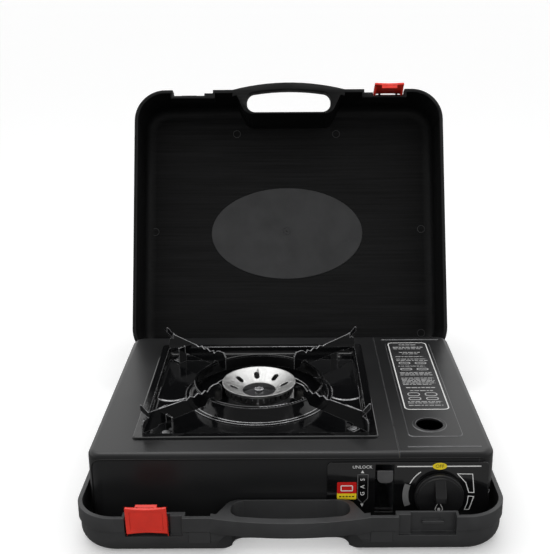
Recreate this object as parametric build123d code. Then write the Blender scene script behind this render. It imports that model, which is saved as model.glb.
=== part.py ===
"""Portable butane cassette stove standing in its open two-part carry case.

Millimetres.  X is right, Y is back and Z is up.  The origin is the centre of the face that the
case base rests on.  The lid is modelled closed and then swung open about its hinge, and each
latch is modelled shut and then swung out a little, because that is how the object stands.
"""

from build123d import *
import math
import os

# ---------------------------------------------------------------- main sizes
STOVE_W = 343.0
STOVE_D = 266.5
STOVE_TOP = 76.9
CASE_SIDE_ROOM = 9.0    # rim of the case beyond the stove at its sides
CASE_FRONT_ROOM = 33.25
CASE_BACK_ROOM = 15.75
BASE_H = 36.4           # height of the base, resting face to parting plane
LID_H = 72.0            # depth of the lid
CASE_WALL = 2.4
SHEET = 1.0             # sheet steel
FIT = 0.3               # running clearance between neighbours
CUT = 5.0               # how far a cutting tool runs past a face

CASE_W = STOVE_W + 2 * CASE_SIDE_ROOM
CASE_D = STOVE_D + CASE_FRONT_ROOM + CASE_BACK_ROOM
FRONT = -CASE_D / 2
BACK = CASE_D / 2
CLOSED_TOP = BASE_H + LID_H
STOVE_X = STOVE_W / 2
STOVE_FRONT = FRONT + CASE_FRONT_ROOM
STOVE_BACK = BACK - CASE_BACK_ROOM
STOVE_MID_Y = (STOVE_FRONT + STOVE_BACK) / 2

# ---------------------------------------------------------------- carry case
CASE_R = 36.0           # plan corner radius of the rim band
BASE_EDGE_R = 15.0      # rounding between the base's walls and its floor
LID_EDGE_R = 14.0
RIM_BAND_H = 13.0       # thickened band below the parting plane
RIM_PROUD = 1.6         # how far the band stands out of the wall

# latches: one on each shell, its mate a pocket with a catch in the other
POCKET_INSET = 91.5     # from the case's side to the pocket's side nearest the handle
POCKET_IN = CASE_W / 2 - POCKET_INSET
POCKET_W = 47.0
POCKET_DEPTH = 8.0
POCKET_STEP_W = 10.0    # shallower strip of the pocket beside the latch
POCKET_STEP = 4.0
POCKET_H = 18.0
LATCH_W = 34.0
LATCH_SIDE_GAP = 1.5    # from the latch to the pocket's outer side
LATCH_MID = POCKET_IN + POCKET_W - LATCH_SIDE_GAP - LATCH_W / 2
LATCH_BELOW = 14.0      # reach on its own side of the parting plane
LATCH_ABOVE = 13.0      # reach on the other shell's side
LATCH_PROUD = 0.6
LATCH_PLATE = 2.6
LATCH_CORNER_R = 1.2
LATCH_CHEEK = 2.2
LATCH_CURVE = 1.6       # hollow of its top and bottom edges
LATCH_SUNK = 0.8
LATCH_SUNK_R = 1.5
LATCH_BORDER = 3.6
LATCH_JOIN = 0.2        # how deep cheeks and hook run into the plate
PIVOT_DROP = 11.0       # pivot below the parting plane
PIVOT_IN = 5.0          # pivot behind the rim front
LATCH_PIN_D = 2.0
PIN_CLEAR = 0.1
EAR_R = 2.6
EAR_T = 2.4
EAR_X = 10.0            # ears either side of the latch's middle
HOOK_W = 18.0
HOOK_REACH = 1.0        # hook tip behind the pivot
HOOK_H = 2.2
HOOK_DROP = 1.0         # hook below the plate's upper end
CATCH_H = 2.6
CATCH_GAP = 0.4         # hook above the catch when shut
CATCH_REACH = 3.4
LATCH_LEAN = 8.0        # degrees that a loose latch leans out

# carrying handle, half of it in each shell
GRIP_TO_POCKET = 23.0
GRIP_HALF = POCKET_IN - GRIP_TO_POCKET      # half length of the bowed grip
GRIP_END = 16.0
HOLE_W = 2 * (GRIP_HALF - GRIP_END)         # clear width of the hand hole
GRIP_W = 8.0            # thickness of the grip in plan
GRIP_H = 14.0           # height of the grip in each shell
GRIP_BOW = 8.5          # how far its middle stands in front of the rim
WELL_DEPTH = 27.0       # from the rim front to the wall behind the hand
WELL_WALL = 2.0
WELL_TAPER = 1.5
WELL_BACK_HALF = HOLE_W / 2 - WELL_TAPER
WELL_R = 10.0           # the hand hole ends in near half circles
MOUTH_INSET = 4.0
MOUTH_HALF = GRIP_HALF - MOUTH_INSET        # half width of the arch under the grip
ARCH_SIDE = 2.4         # straight side of the arch above its round corner
ARCH_R = BASE_H - GRIP_H - ARCH_SIDE

# flat pads on the front wall, between handle and pockets
PAD_W = 18.0
PAD_TO_POCKET = 14.0
PAD_X = POCKET_IN - PAD_TO_POCKET
PAD_PROUD = 1.0
PAD_EDGE_Z = 5.0        # lower end of a pad above the outer face

# case hinge
HINGE_OFF = 4.5         # hinge axis behind the rim band
HINGE_Y = BACK + HINGE_OFF
HINGE_INSET = 68.5
HINGE_X = CASE_W / 2 - HINGE_INSET
KNUCKLE_R = 4.2
KNUCKLE_W = 12.0
LID_KNUCKLE_W = 24.0
KNUCKLE_GAP = 0.4
HINGE_PIN_D = 3.0
HEEL_REACH = 1.3        # stop heel below the lid's knuckle
LID_OPEN = 113.3        # degrees

# ---------------------------------------------------------------- stove
FOOT_H = 4.6
FOOT_D = 16.0
FOOT_EDGE_R = 1.0
FOOT_SIDE_INSET = 33.5
FOOT_FRONT_INSET = 36.5
FOOT_BACK_INSET = 38.0
FOOT_X = STOVE_X - FOOT_SIDE_INSET
FOOT_Y_FRONT = STOVE_FRONT + FOOT_FRONT_INSET
FOOT_Y_BACK = STOVE_BACK - FOOT_BACK_INSET
FOOT_RING_T = 2.0       # locating ring round each foot on the case floor
FOOT_RING_H = 2.0
FOOT_RING_GAP = 0.8
STOVE_Z = CASE_WALL + FOOT_H             # underside of the stove's floor
FLOOR_TOP = STOVE_Z + SHEET
STOVE_R = 13.0          # vertical corners
STOVE_TOP_R = 5.0       # fold round the top
LIP_W = 9.0             # turned-in lip at the bottom
BAY_W = 79.9            # cartridge side of the stove, seam to outer face
SEAM_X = STOVE_X - BAY_W
VENTS = 7               # air slots in the left and back walls
VENT_ROWS = 2
VENT_STEP = 24.0
VENT_L = 15.0
VENT_H = 3.0
VENT_Z = 42.0
VENT_RISE = 9.0
FLOOR_SLOTS = 6         # air slots in the floor
FLOOR_SLOT_STEP = 16.0
FLOOR_SLOT_W = 6.0
FLOOR_SLOT_L = 35.0
FLOOR_SLOT_X = 72.5     # middle of the slots left of the burner

# burner bowl and drip tray
TRAY_LEFT = 34.75       # stove's left face to the tray
TRAY_RIGHT = 14.85      # tray to the seam
TRAY_S = STOVE_W - BAY_W - TRAY_LEFT - TRAY_RIGHT
TRAY_X = SEAM_X - TRAY_RIGHT - TRAY_S / 2
TRAY_Y = STOVE_MID_Y
TRAY_R = 4.0            # tray's own corner
TRAY_BOWL_R = 7.0       # corner of the bowl inside the rim
TRAY_RIM_H = 2.0
TRAY_RIM_R = 1.6
TRAY_RIM_W = 7.0
TRAY_SHEET = 1.0
TRAY_FLOOR = 70.0       # underside of the bowl
TRAY_HOLE_D = 98.0
OPENING_GAP = 1.0       # bowl to the hole in the top
BOWL_R = 5.0
RELIEF_X = 84.0         # pressed discs left and right of the collar
RELIEF_D = 36.0
RELIEF_H = 0.8

COLLAR_D_LOW = 134.0
COLLAR_D_TOP = 124.0
COLLAR_TOP = 85.0
COLLAR_T = 1.2
COLLAR_FLANGE = 4.0
COLLAR_BEAD = 1.1

# pan supports, four pressed blades on the diagonals
BLADES = 4
BLADE_FIRST = 225.0     # degrees from +X to the front left blade
BLADE_T = 1.6
BLADE_INSET = 11.5      # blade's outer end inside the tray's square corner
BLADE_OUT = TRAY_S / math.sqrt(2) - BLADE_INSET
HORN_FLAT = 7.5
BLADE_BEND = BLADE_OUT - HORN_FLAT          # where the horn turns out of the blade's plane
HORN_L = 7.0
HORN_TURN = 45.0        # each horn turns to the stove's own side
HORN_LOW_Z = 91.5
BLADE_IN = 48.0
BLADE_TIP_Z = 103.5
BLADE_EDGE_Z = 95.0
BLADE_WAVE = 1.2
WAVES = 3
WAVE_STEP = 9.0
WAVE_FROM = 42.0
HUMP_L = 13.0
HUMP_EASE = 1.0
BLADE_HUMP_Z = 98.5
BLADE_LOW_Z = 80.6
LEG_INSET = 26.5
BLADE_FOOT_R = BLADE_OUT - LEG_INSET        # leg bent square to the blade, with a foot on the tray
LEG_W = 9.0
LEG_TOP_Z = 88.0
FOOT_L = 9.0
RIVET_D = 4.0
RIVET_HEAD_D = 7.0
RIVET_HEAD_H = 1.0

# burner
BURNER = Vector(TRAY_X, TRAY_Y, 0)
BURNER_FLANGE_D = 60.0
BURNER_BOWL_D = 50.0
BURNER_LOW = 40.0
BURNER_FLANGE_Z = 62.0
BURNER_TOP = 72.0
BURNER_WALL = 3.0
NECK_L = 12.0            # neck that the mixing tube plugs into
PORT_D = 66.0
PORT_TOP = 79.5
PORT_WALL = 5.0
PORT_SEAT = 1.5          # slope under the ports
PORT_COUNT = 36
PORT_SLOT_W = 2.0
PORT_SLOT_H = 4.5
CAP_D = 71.0
CAP_TOP = 83.5
CAP_HOLE_D = 32.0
CAP_DROP = 9.0
CAP_T = 1.2
CAP_SLOTS = 8
CAP_SLOT_TURN = 7.0
CAP_SLOT_R = 24.6
CAP_SLOT_L = 8.0
CAP_SLOT_W = 5.0
BRIDGE_W = 9.0
BRIDGE_T = 1.6
BRIDGE_TURN = 20.0
CAP_SCREW_D = 4.0
CAP_SCREW_HEAD_D = 9.0
CAP_SCREW_HEAD_H = 2.6
CAP_SCREW_HEAD_R = 0.8
CAP_SCREW_CUT_W = 1.2
CAP_SCREW_CUT_H = 1.0
PARTITION_FROM_SEAM = 3.6
PARTITION_X = SEAM_X - PARTITION_FROM_SEAM
PARTITION_FOOT = 8.0

# cartridge bay, right of the seam
BAY_FROM_SIDE = 41.0
BAY_X = STOVE_X - BAY_FROM_SIDE
BAY_Z = 42.0
SIDE_WALL_Z = 35.5      # top of the housing's right wall
INNER_WALL_INSET = 6.5
INNER_WALL_X = STOVE_X - INNER_WALL_INSET   # upright flange inside the cover's hinge line
INNER_WALL_Z = 60.0
CRADLE_R = 34.0
CRADLE_T = 0.8
CRADLE_ARC = 55.0

# gas governor
GOV_D = 40.0
GOV_INSET = 27.0
GOV_L = 18.5
GOV_FRONT = STOVE_FRONT + GOV_INSET
GOV_BACK = GOV_FRONT + GOV_L
GOV_EDGE_R = 2.0
GOV_COVER_T = 4.0
GOV_COVER_D = 44.0
SOCKET_D = 22.0
SOCKET_L = 10.0
SOCKET_BORE = 11.0
GOV_SCREWS = 4
GOV_SCREW_D = 3.0
GOV_SCREW_R = 16.5
GOV_SCREW_L = 8.0       # depth of thread in the body
GOV_SCREW_HEAD_D = 5.6
GOV_SCREW_HEAD_H = 1.8
COLLAR_PLATE_D = 52.0
COLLAR_PLATE_T = 1.4
KEY_W = 8.0             # notch that keys the cartridge's collar
KEY_H = 9.0
VALVE_PLATE_T = 1.2
VALVE_PLATE_Y = GOV_FRONT - GOV_COVER_T - VALVE_PLATE_T
VALVE_MARGIN = 3.0      # plate outside the governor's cover
VALVE_FOOT = 12.0
CRADLE_TO_GOV = 24.0
CRADLE_TO_BACK = 24.0
CRADLE_FRONT = GOV_BACK + CRADLE_TO_GOV
CRADLE_BACK = STOVE_BACK - CRADLE_TO_BACK
PUSHER_TO_BACK = 11.0
PUSHER_Y = STOVE_BACK - PUSHER_TO_BACK
PUSHER_INSET = 8.0

# mixing tube, which points at the side of the governor
TUBE_Z = 51.0
TUBE_OD = 18.0
TUBE_WALL = 1.2
TUBE_TO_PARTITION = 11.0
TUBE_TURN = math.atan2((GOV_FRONT + GOV_BACK) / 2 - TRAY_Y, BAY_X - GOV_D / 2 - TRAY_X)
TUBE_DIR = Vector(math.cos(TUBE_TURN), math.sin(TUBE_TURN), 0)
TUBE_MOUTH_R = (PARTITION_X - TUBE_TO_PARTITION - TRAY_X) / TUBE_DIR.X      # from the burner's centre
TUBE_BELL = 3.0
AIR_HOLE_D = 8.0
AIR_HOLE_IN = 18.0
JET_D = 8.0
JET_L = 12.0
JET_GAP = 4.0
JET_RIM = 1.0
JET_BORE = 1.0
PIPE_D = 6.0
BRACKET_W = 24.0
BRACKET_T = 1.5
BRACKET_HALF = 34.0
BRACKET_TOE = 12.0

# cartridge cover
COVER_PROUD = 1.0
COVER_AXIS_Z = 42.0
COVER_TAB_T = 1.2
COVER_TAB_R = 3.5
COVER_AXIS_X = STOVE_X - COVER_TAB_R
COVER_LOW_Z = COVER_AXIS_Z + COVER_TAB_R + FIT
COVER_TAB_TOP = 62.0
COVER_PIN_D = 4.0
TAB_FRONT_INSET = 12.5
TAB_BACK_INSET = 12.0
COVER_TAB_FRONT = STOVE_FRONT + TAB_FRONT_INSET
COVER_TAB_BACK = STOVE_BACK - TAB_BACK_INSET
PANEL_FROM_SEAM = 11.4
PANEL_FROM_SIDE = 21.5
PANEL_FROM_FRONT = 29.0
PANEL_FROM_BACK = 21.0
PANEL_R = 5.0
EMBOSS = 0.6
WINDOW_FROM_SEAM = 32.1
WINDOW_FROM_FRONT = 51.0
COVER_HOLE_X = SEAM_X + WINDOW_FROM_SEAM
COVER_HOLE_Y = STOVE_FRONT + WINDOW_FROM_FRONT
COVER_HOLE_D = 24.0
COVER_RING_D = 30.0
BEAD_FROM_SEAM = 8.4
BEAD_FROM_SIDE = 9.5
BEAD_FROM_END = 11.5
BEAD_W = 1.6

# controls
CONTROL_LEFT = 60.6     # control panel left of the seam
CONTROL_RIGHT = 4.5     # its other end from the stove's side
CONTROL_X0 = SEAM_X - CONTROL_LEFT
CONTROL_X1 = STOVE_X - CONTROL_RIGHT
CONTROL_Z0 = 12.0
CONTROL_Z1 = 69.0
CONTROL_T = 1.5
CONTROL_R = 4.0
KNOB_OFF = 5.0          # knob left of the cartridge's axis
KNOB_X = BAY_X - KNOB_OFF
KNOB_Z = 38.5
KNOB_D = 41.5
KNOB_SKIRT = 5.0
KNOB_EDGE_R = 1.2
KNOB_FACE_D = 38.0
KNOB_FACE = 2.0
KNOB_BAR_W = 9.3
KNOB_BAR = 8.0          # how far the bar stands out of the face
KNOB_BAR_R = 1.5
BAR_TOP = 18.0          # bar's upper end above the knob's axis, level with the face
BAR_CREST = 5.0         # from here down to its nose it has its full height
BAR_NOSE = 0.0
BAR_FOOT = -3.5         # its lower end back on the face
BAR_SUNK = 1.0          # how far the bar runs into the face
KNOB_GAP = 0.6
KNOB_BACK = STOVE_FRONT - CONTROL_T - KNOB_GAP
KNOB_FRONT = KNOB_BACK - KNOB_SKIRT - KNOB_FACE - KNOB_BAR
SHAFT_D = 6.0
SHAFT_HOLE_D = 10.0
CAM_D = 22.0
CAM_LOBE_D = 20.0
CAM_THROW = 2.0
CAM_T = 5.0
LEVER_FROM_SEAM = 12.1
LEVER_X = SEAM_X - LEVER_FROM_SEAM
LEVER_W = 13.5
SLOT_Z0 = 21.0
SLOT_Z1 = 67.0
SLOT_W = 15.5
LEVER_INSET = 22.5
LEVER_AXIS_Y = STOVE_FRONT + LEVER_INSET
LEVER_AXIS_Z = 44.0
LEVER_ARM = 29.5
LEVER_ARM_H = 8.0
LEVER_BOSS = 4.0        # boss's diameter beyond the shaft's
LEVER_UP = 24.0         # degrees above level, unlocked
LEVER_T = 3.0
TAB_H = 10.5
TAB_DROP = 4.0          # tab below the middle of the arm
TAB_R = 4.0
TAB_EDGE_R = 1.0
LEVER_SHAFT_D = 5.0
LEVER_SHAFT_IN = 1.0
CRANK_R = 10.0
CRANK_T = 1.6
CRANK_W = 6.0
CRANK_END = 2.0
CRANK_PIN_D = 3.0
STRIP_T = 1.2
STRIP_H = 12.0
STRIP_END = 6.0         # strip in front of the crank's pin
STRIP_SLOT_W = 3.8
STRIP_SLOT_END = 2.0
PIPE_ROOM = 1.0         # notch above the gas pipe

# ignition
ELECTRODE_R = 41.0      # from the burner's centre, in front of it
ELECTRODE_Y = TRAY_Y - ELECTRODE_R
CERAMIC_D = 6.0
CERAMIC_LOW = 52.0
CERAMIC_TOP = 72.0
CERAMIC_COLLAR_D = 9.0
CERAMIC_COLLAR_H = 3.0
WIRE_D = 2.0
WIRE_TOP = 78.5
WIRE_BEND = 4.0
PIEZO_L = 34.0
PIEZO_W = 10.0
PIEZO_H = 14.0
PIEZO_R = 1.5
PIEZO_GAP = 0.8         # from the lip of the housing
PLUNGER_D = 5.0
PLUNGER_H = 4.1
PIEZO_X1 = KNOB_X + PLUNGER_D / 2
PIEZO_X0 = PIEZO_X1 - PIEZO_L
PIEZO_Y = STOVE_FRONT + LIP_W + PIEZO_GAP + PIEZO_W / 2
LEAD_D = 2.4
LEAD_Z = 10.5
LEAD_BEND_R = 60.0      # widest bend of the lead
LEAD_BEND_SHARE = 0.45  # of a run, used by the bend at its end
LEAD_KNOTS = ((0.16, 0.0), (0.40, 0.13), (0.71, 0.49))      # shares of the way to the electrode

BODY_SCREW_D = 3.0
BODY_SCREW_HEAD_D = 6.5
BODY_SCREW_HEAD_H = 1.6
BODY_SCREW_INSET = 5.5
SCREW_LEFT_INSET = 71.5
SCREW_MID_OFF = 50.0
SCREW_RIGHT_INSET = 31.5
CONDUCTOR_T = 1.5
CONDUCTOR_Y = 18.0       # middle of the strip behind the burner's centre
CONDUCTOR_W = 22.0
CONDUCTOR_START = 8.0
CONDUCTOR_LOW = 30.0


# ---------------------------------------------------------------- shared shapes
def prism(sketch, z0, z1):
    """Solid standing on a plan sketch between two heights."""
    return extrude(Pos(0, 0, z0) * sketch, z1 - z0)


def along_y(sketch, y0, y1):
    """Solid whose section is drawn in X and Z, from y0 to y1."""
    plane = Plane(origin=(0, y1, 0), x_dir=(1, 0, 0), z_dir=(0, -1, 0))
    return extrude(plane * sketch, y1 - y0)


def along_x(sketch, x0, x1):
    """Solid whose section is drawn in Y and Z, from x0 to x1."""
    plane = Plane(origin=(x0, 0, 0), x_dir=(0, 1, 0), z_dir=(1, 0, 0))
    return extrude(plane * sketch, x1 - x0)


def block(x0, x1, y0, y1, z0, z1):
    """Box between two opposite corners."""
    return Pos((x0 + x1) / 2, (y0 + y1) / 2, (z0 + z1) / 2) * Box(x1 - x0, y1 - y0, z1 - z0)


def rod_x(x0, x1, y, z, diameter):
    return along_x(Pos(y, z) * Circle(diameter / 2), x0, x1)


def rod_y(x, y0, y1, z, diameter):
    return along_y(Pos(x, z) * Circle(diameter / 2), y0, y1)


def rod_z(x, y, z0, z1, diameter):
    return prism(Pos(x, y) * Circle(diameter / 2), z0, z1)


def rounded(x0, x1, y0, y1, radius):
    """Plan rectangle with rounded corners."""
    return Pos((x0 + x1) / 2, (y0 + y1) / 2) * RectangleRounded(x1 - x0, y1 - y0, radius)


def tub(sketch, z0, z1, edge_r):
    """Solid on a plan sketch with its lower edges rounded."""
    solid = prism(sketch, z0, z1)
    return fillet(solid.edges().group_by(Axis.Z)[0], edge_r)


def hood(sketch, z0, z1, edge_r):
    """Solid on a plan sketch with its upper edges rounded."""
    solid = prism(sketch, z0, z1)
    return fillet(solid.edges().group_by(Axis.Z)[-1], edge_r)


def outline(points):
    """Flat face inside straight sides."""
    return make_face(Polyline(*points, close=True))


def turned(points, x, y):
    """Solid of revolution about an upright axis; points are radius and height."""
    return Pos(x, y, 0) * revolve(Plane.XZ * outline(points), Axis.Z)


def lone(part):
    """The largest solid of a part."""
    return part.solids().sort_by(SortBy.VOLUME)[-1]


def group(solids):
    """Several like pieces kept in one node."""
    return Compound(children=[lone(s) for s in solids])


# ---------------------------------------------------------------- case shells
def bow(x):
    """Y of the grip's inner face at a distance x from the middle."""
    radius = (GRIP_HALF ** 2 + GRIP_BOW ** 2) / (2 * GRIP_BOW)
    return FRONT + GRIP_W - GRIP_BOW + radius - math.sqrt(radius ** 2 - x ** 2)


def grip(height):
    """Bowed hand grip across the mouth of the recess."""
    outer = ThreePointArc((-GRIP_HALF, FRONT), (0, FRONT - GRIP_BOW), (GRIP_HALF, FRONT))
    right = Line((GRIP_HALF, FRONT), (GRIP_HALF, FRONT + GRIP_W))
    inner = ThreePointArc((GRIP_HALF, FRONT + GRIP_W), (0, bow(0)), (-GRIP_HALF, FRONT + GRIP_W))
    left = Line((-GRIP_HALF, FRONT + GRIP_W), (-GRIP_HALF, FRONT))
    return prism(make_face(Curve() + [outer, right, inner, left]), height - GRIP_H, height)


def hand_well(height):
    """Space behind the grip, open through the shell, and the arch below it."""
    half = HOLE_W / 2
    back = FRONT + WELL_DEPTH
    front = ThreePointArc((-half, bow(half)), (0, bow(0)), (half, bow(half)))
    sides = Polyline((half, bow(half)), (WELL_BACK_HALF, back), (-WELL_BACK_HALF, back),
                     (-half, bow(half)))
    plan = make_face(Curve() + [front, sides])
    plan = fillet(plan.vertices(), WELL_R)
    well = prism(plan, -CUT, height + CUT)
    outside = FRONT - GRIP_BOW - CUT
    funnel = outline([(-MOUTH_HALF, outside), (MOUTH_HALF, outside), (MOUTH_HALF, FRONT + RIM_PROUD),
                      (WELL_BACK_HALF, back - WELL_R), (-WELL_BACK_HALF, back - WELL_R),
                      (-MOUTH_HALF, FRONT + RIM_PROUD)])
    arch_h = height - GRIP_H
    arch = along_y(RectangleRounded(2 * MOUTH_HALF, 2 * arch_h, ARCH_R), outside, back)
    return well + (prism(funnel, -CUT, height) & arch)


def half_shell(height, edge_r):
    """One shell of the case, outer face down and rim up."""
    inset = RIM_PROUD
    wide = CASE_W - 2 * inset
    deep = CASE_D - 2 * inset
    outer = tub(RectangleRounded(wide, deep, CASE_R - inset), 0, height, edge_r)
    outer += prism(RectangleRounded(CASE_W, CASE_D, CASE_R), height - RIM_BAND_H, height)
    hollow = RectangleRounded(wide - 2 * CASE_WALL, deep - 2 * CASE_WALL, CASE_R - inset - CASE_WALL)
    shell = outer - tub(hollow, CASE_WALL, height + CUT, edge_r - CASE_WALL)
    lining = outline([(-MOUTH_HALF - CASE_WALL, FRONT), (MOUTH_HALF + CASE_WALL, FRONT),
                      (WELL_BACK_HALF + WELL_WALL, FRONT + WELL_DEPTH + WELL_WALL),
                      (-WELL_BACK_HALF - WELL_WALL, FRONT + WELL_DEPTH + WELL_WALL)])
    lining = fillet(lining.vertices().group_by(Axis.Y)[-1], WELL_R + WELL_WALL)
    shell += prism(lining, 0, height) & outer
    for side in (-1, 1):
        shell += pad(side, height)
        shell += pocket_block(side, height) & outer
        shell -= pocket(side, height)
    shell += grip(height)
    shell -= hand_well(height)
    return shell


def pad(side, height):
    """Flat pad moulded on the front wall below the rim band."""
    x = side * PAD_X
    return block(x - PAD_W / 2, x + PAD_W / 2, FRONT + RIM_PROUD - PAD_PROUD,
                 FRONT + RIM_PROUD + CASE_WALL / 2, BASE_EDGE_R / 2 + PAD_EDGE_Z, height - RIM_BAND_H)


def pocket_block(side, height):
    x0, x1 = sorted((side * (POCKET_IN - CASE_WALL), side * (POCKET_IN + POCKET_W + CASE_WALL)))
    return block(x0, x1, FRONT, FRONT + POCKET_DEPTH + CASE_WALL, height - POCKET_H - CASE_WALL, height)


def pocket(side, height):
    step = POCKET_IN + POCKET_STEP_W
    x0, x1 = sorted((side * step, side * (POCKET_IN + POCKET_W)))
    hollow = block(x0, x1, FRONT - CUT, FRONT + POCKET_DEPTH, height - POCKET_H, height + CUT)
    x0, x1 = sorted((side * POCKET_IN, side * step))
    return hollow + block(x0, x1, FRONT - CUT, FRONT + POCKET_STEP, height - POCKET_H, height + CUT)


def ears(x, height):
    """Two ears on the pocket's wall that carry a latch pin."""
    z = height - PIVOT_DROP
    y = FRONT + PIVOT_IN
    found = Part()
    for side in (-1, 1):
        x0 = x + side * EAR_X - EAR_T / 2
        ear = rod_x(x0, x0 + EAR_T, y, z, 2 * EAR_R)
        ear += block(x0, x0 + EAR_T, y, FRONT + POCKET_DEPTH, z - EAR_R, z + EAR_R)
        found += ear - rod_x(x0 - CUT, x0 + EAR_T + CUT, y, z, LATCH_PIN_D + PIN_CLEAR)
    return found


def catch(x, height):
    """Rib in a pocket that the other shell's hook closes over."""
    top = height - (LATCH_ABOVE - HOOK_DROP - HOOK_H - CATCH_GAP - CATCH_H)
    wall = FRONT + POCKET_DEPTH
    return block(x - HOOK_W / 2, x + HOOK_W / 2, wall - CATCH_REACH, wall, top - CATCH_H, top)


def knuckles(middle):
    """Hinge knuckles of a half shell on its rim plane: the lid has the middle ones."""
    found = []
    for side in (-1, 1):
        x = side * HINGE_X
        if middle:
            spans = [(x - LID_KNUCKLE_W / 2, x + LID_KNUCKLE_W / 2)]
        else:
            inner = LID_KNUCKLE_W / 2 + KNUCKLE_GAP
            spans = [(x - inner - KNUCKLE_W, x - inner), (x + inner, x + inner + KNUCKLE_W)]
        found += spans
    return found


def knuckle(x0, x1, z_rim, direction, bore):
    """One knuckle with its web; direction is -1 below the rim plane and 1 above it."""
    z0, z1 = sorted((z_rim, z_rim + direction * KNUCKLE_R))
    solid = rod_x(x0, x1, HINGE_Y, z_rim, 2 * KNUCKLE_R)
    solid += block(x0, x1, BACK - RIM_PROUD, HINGE_Y, z0, z1)
    return solid - rod_x(x0 - CUT, x1 + CUT, HINGE_Y, z_rim, bore)


def case_base():
    shell = half_shell(BASE_H, BASE_EDGE_R)
    shell += ears(-LATCH_MID, BASE_H)
    shell += catch(LATCH_MID, BASE_H)
    for x0, x1 in knuckles(False):
        shell += knuckle(x0, x1, BASE_H, -1, HINGE_PIN_D)
    for x in (-FOOT_X, FOOT_X):
        for y in (FOOT_Y_FRONT, FOOT_Y_BACK):
            bore = FOOT_D + 2 * FOOT_RING_GAP
            ring = Circle(bore / 2 + FOOT_RING_T) - Circle(bore / 2)
            shell += prism(Pos(x, y) * ring, CASE_WALL, CASE_WALL + FOOT_RING_H)
    return lone(shell)


def lid_open(part):
    """Swings a piece of the closed lid to where it stands open."""
    return part.rotate(Axis((0, HINGE_Y, BASE_H), (1, 0, 0)), -LID_OPEN)


def case_lid():
    shell = half_shell(LID_H, LID_EDGE_R)
    shell += ears(LATCH_MID, LID_H)
    shell += catch(-LATCH_MID, LID_H)
    shell = Pos(0, 0, CLOSED_TOP) * mirror(shell, about=Plane.XY)
    for x0, x1 in knuckles(True):
        shell += knuckle(x0, x1, BASE_H, 1, HINGE_PIN_D + PIN_CLEAR)
    shell = lid_open(lone(shell))
    heel_front = BACK + FIT
    heel_low = BASE_H - KNUCKLE_R - HEEL_REACH
    for side in (-1, 1):
        x = side * HINGE_X
        heel = block(x - LID_KNUCKLE_W / 2, x + LID_KNUCKLE_W / 2, heel_front, HINGE_Y - HINGE_PIN_D,
                     heel_low, BASE_H - HINGE_PIN_D / 2)
        heel += block(x - LID_KNUCKLE_W / 2, x + LID_KNUCKLE_W / 2, heel_front, HINGE_Y,
                      heel_low, BASE_H - HINGE_PIN_D)
        shell += heel
    return lone(shell)


def case_hinge_pins():
    pins = []
    for side in (-1, 1):
        half = LID_KNUCKLE_W / 2 + KNUCKLE_GAP + KNUCKLE_W
        pins.append(rod_x(side * HINGE_X - half, side * HINGE_X + half, HINGE_Y, BASE_H, HINGE_PIN_D))
    return group(pins)


def latch_body():
    """Latch shut on the base, centred on x = 0: plate, cheeks and hook."""
    y0 = FRONT - LATCH_PROUD
    y1 = y0 + LATCH_PLATE
    z0 = BASE_H - LATCH_BELOW
    z1 = BASE_H + LATCH_ABOVE
    half = LATCH_W / 2
    top = ThreePointArc((half, z1), (0, z1 - LATCH_CURVE), (-half, z1))
    low = ThreePointArc((-half, z0), (0, z0 + LATCH_CURVE), (half, z0))
    sides = [Line((-half, z1), (-half, z0)), Line((half, z0), (half, z1))]
    plate = along_y(make_face(Curve() + [top, sides[0], low, sides[1]]), y0, y1)
    plate = fillet(plate.edges().filter_by(Axis.Y), LATCH_CORNER_R)
    sunk = Pos(0, (z0 + z1) / 2) * RectangleRounded(LATCH_W - 2 * LATCH_BORDER,
                                                    z1 - z0 - 2 * LATCH_BORDER, LATCH_SUNK_R)
    latch = plate - along_y(sunk, y0 - CUT, y0 + LATCH_SUNK)
    pivot_y = FRONT + PIVOT_IN
    pivot_z = BASE_H - PIVOT_DROP
    cheek = rod_x(0, LATCH_CHEEK, pivot_y, pivot_z, 2 * EAR_R)
    joined = y1 - LATCH_JOIN
    cheek += along_x(outline([(joined, pivot_z - EAR_R), (pivot_y, pivot_z - EAR_R),
                              (pivot_y + EAR_R, pivot_z), (joined, z1 - 4 * LATCH_CURVE)]), 0, LATCH_CHEEK)
    cheek -= rod_x(-CUT, LATCH_CHEEK + CUT, pivot_y, pivot_z, LATCH_PIN_D)
    latch += Pos(-half, 0, 0) * cheek
    latch += Pos(half - LATCH_CHEEK, 0, 0) * cheek
    hook_top = z1 - HOOK_DROP
    latch += block(-HOOK_W / 2, HOOK_W / 2, joined, pivot_y + HOOK_REACH, hook_top - HOOK_H,
                   hook_top - LATCH_JOIN)
    return lone(latch)


def latch_pin():
    half = LATCH_W / 2
    return rod_x(-half, half, FRONT + PIVOT_IN, BASE_H - PIVOT_DROP, LATCH_PIN_D)


def on_base(part):
    """Places a latch piece on the base, leaning out by a little."""
    axis = Axis((0, FRONT + PIVOT_IN, BASE_H - PIVOT_DROP), (1, 0, 0))
    return Pos(-LATCH_MID, 0, 0) * part.rotate(axis, LATCH_LEAN)


def on_lid(part):
    """Places a latch piece on the lid, upside down and leaning out by a little."""
    leaned = part.rotate(Axis((0, FRONT + PIVOT_IN, BASE_H - PIVOT_DROP), (1, 0, 0)), LATCH_LEAN)
    flipped = mirror(leaned, about=Plane(origin=(0, 0, BASE_H), z_dir=(0, 0, 1)))
    return lid_open(Pos(LATCH_MID, 0, 0) * flipped)


# ---------------------------------------------------------------- stove body
def body_plan(grow):
    """Plan of the stove's body, grown or shrunk all round."""
    return rounded(-STOVE_X - grow, STOVE_X + grow, STOVE_FRONT - grow, STOVE_BACK + grow, STOVE_R + grow)


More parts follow.
